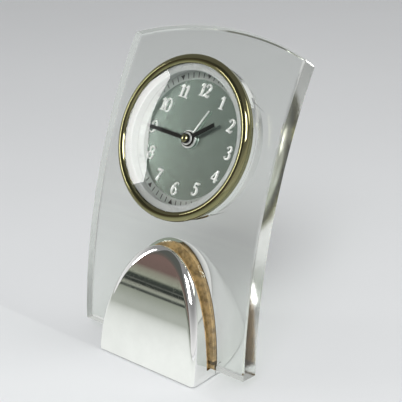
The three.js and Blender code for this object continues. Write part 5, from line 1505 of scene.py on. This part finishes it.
class OBJECT_OT_clock_stage(bpy.types.Operator):
    """Set the pale floor, the soft lamps and the camera"""

    bl_idname = "clock.stage"
    bl_label = "Stage"

    def execute(self, context):
        scene = context.scene
        stage = scene.clock_stage
        scene.view_settings.view_transform = "Standard"
        bm = bmesh.new()
        bmesh.ops.create_circle(bm, cap_ends=True, segments=96, radius=3.0)
        linked("floor", bm, pale_floor("Pale floor", stage.floor))
        scene.world = soft_studio(stage.world)
        window_panel(stage)
        area_lamp("key", 32, 42, 1.1, 0.4, stage.key)
        area_lamp("rim", 118, 38, 0.9, 0.35, stage.rim, (1.0, 0.98, 0.95))
        # The glowing card that paints reflections into the chrome and the glass
        reflected_card()
        scene.camera = photo_camera(stage)
        return {"FINISHED"}


class VIEW3D_PT_clock(bpy.types.Panel):
    """Lists the clock's pieces and their settings"""

    bl_label = "Glass Clock"
    bl_idname = "VIEW3D_PT_clock"
    bl_space_type = "VIEW_3D"
    bl_region_type = "UI"
    bl_category = "Glass Clock"

    def draw(self, context):
        for operator in OPERATORS:
            self.layout.operator(operator.bl_idname)
        for name in SETTINGS:
            group = getattr(context.scene, name)
            box = self.layout.box()
            for key in group.__annotations__:
                box.prop(group, key)


SETTINGS = {
    "clock_plate": PlateSettings,
    "clock_base": BaseSettings,
    "clock_insert": InsertSettings,
    "clock_dial": DialSettings,
    "clock_hands": HandSettings,
    "clock_rear": RearSettings,
    "clock_stage": StageSettings,
}
OPERATORS = (
    OBJECT_OT_clock_plate,
    OBJECT_OT_clock_base,
    OBJECT_OT_clock_fixings,
    OBJECT_OT_clock_bezel,
    OBJECT_OT_clock_case,
    OBJECT_OT_clock_dial,
    OBJECT_OT_clock_hands,
    OBJECT_OT_clock_movement,
    OBJECT_OT_clock_rear,
    OBJECT_OT_clock_stage,
)
CLASSES = (*SETTINGS.values(), *OPERATORS, VIEW3D_PT_clock)


def register():
    for made in CLASSES:
        bpy.utils.register_class(made)
    for name, made in SETTINGS.items():
        setattr(bpy.types.Scene, name, PointerProperty(type=made))


def unregister():
    for name in SETTINGS:
        delattr(bpy.types.Scene, name)
    for made in reversed(CLASSES):
        bpy.utils.unregister_class(made)


def main():
    register()
    bpy.ops.clock.plate()
    bpy.ops.clock.base()
    bpy.ops.clock.fixings()
    bpy.ops.clock.bezel()
    bpy.ops.clock.case()
    bpy.ops.clock.dial()
    bpy.ops.clock.hands()
    bpy.ops.clock.movement()
    bpy.ops.clock.rear()
    bpy.ops.clock.stage()


if __name__ == "__main__":
    main()
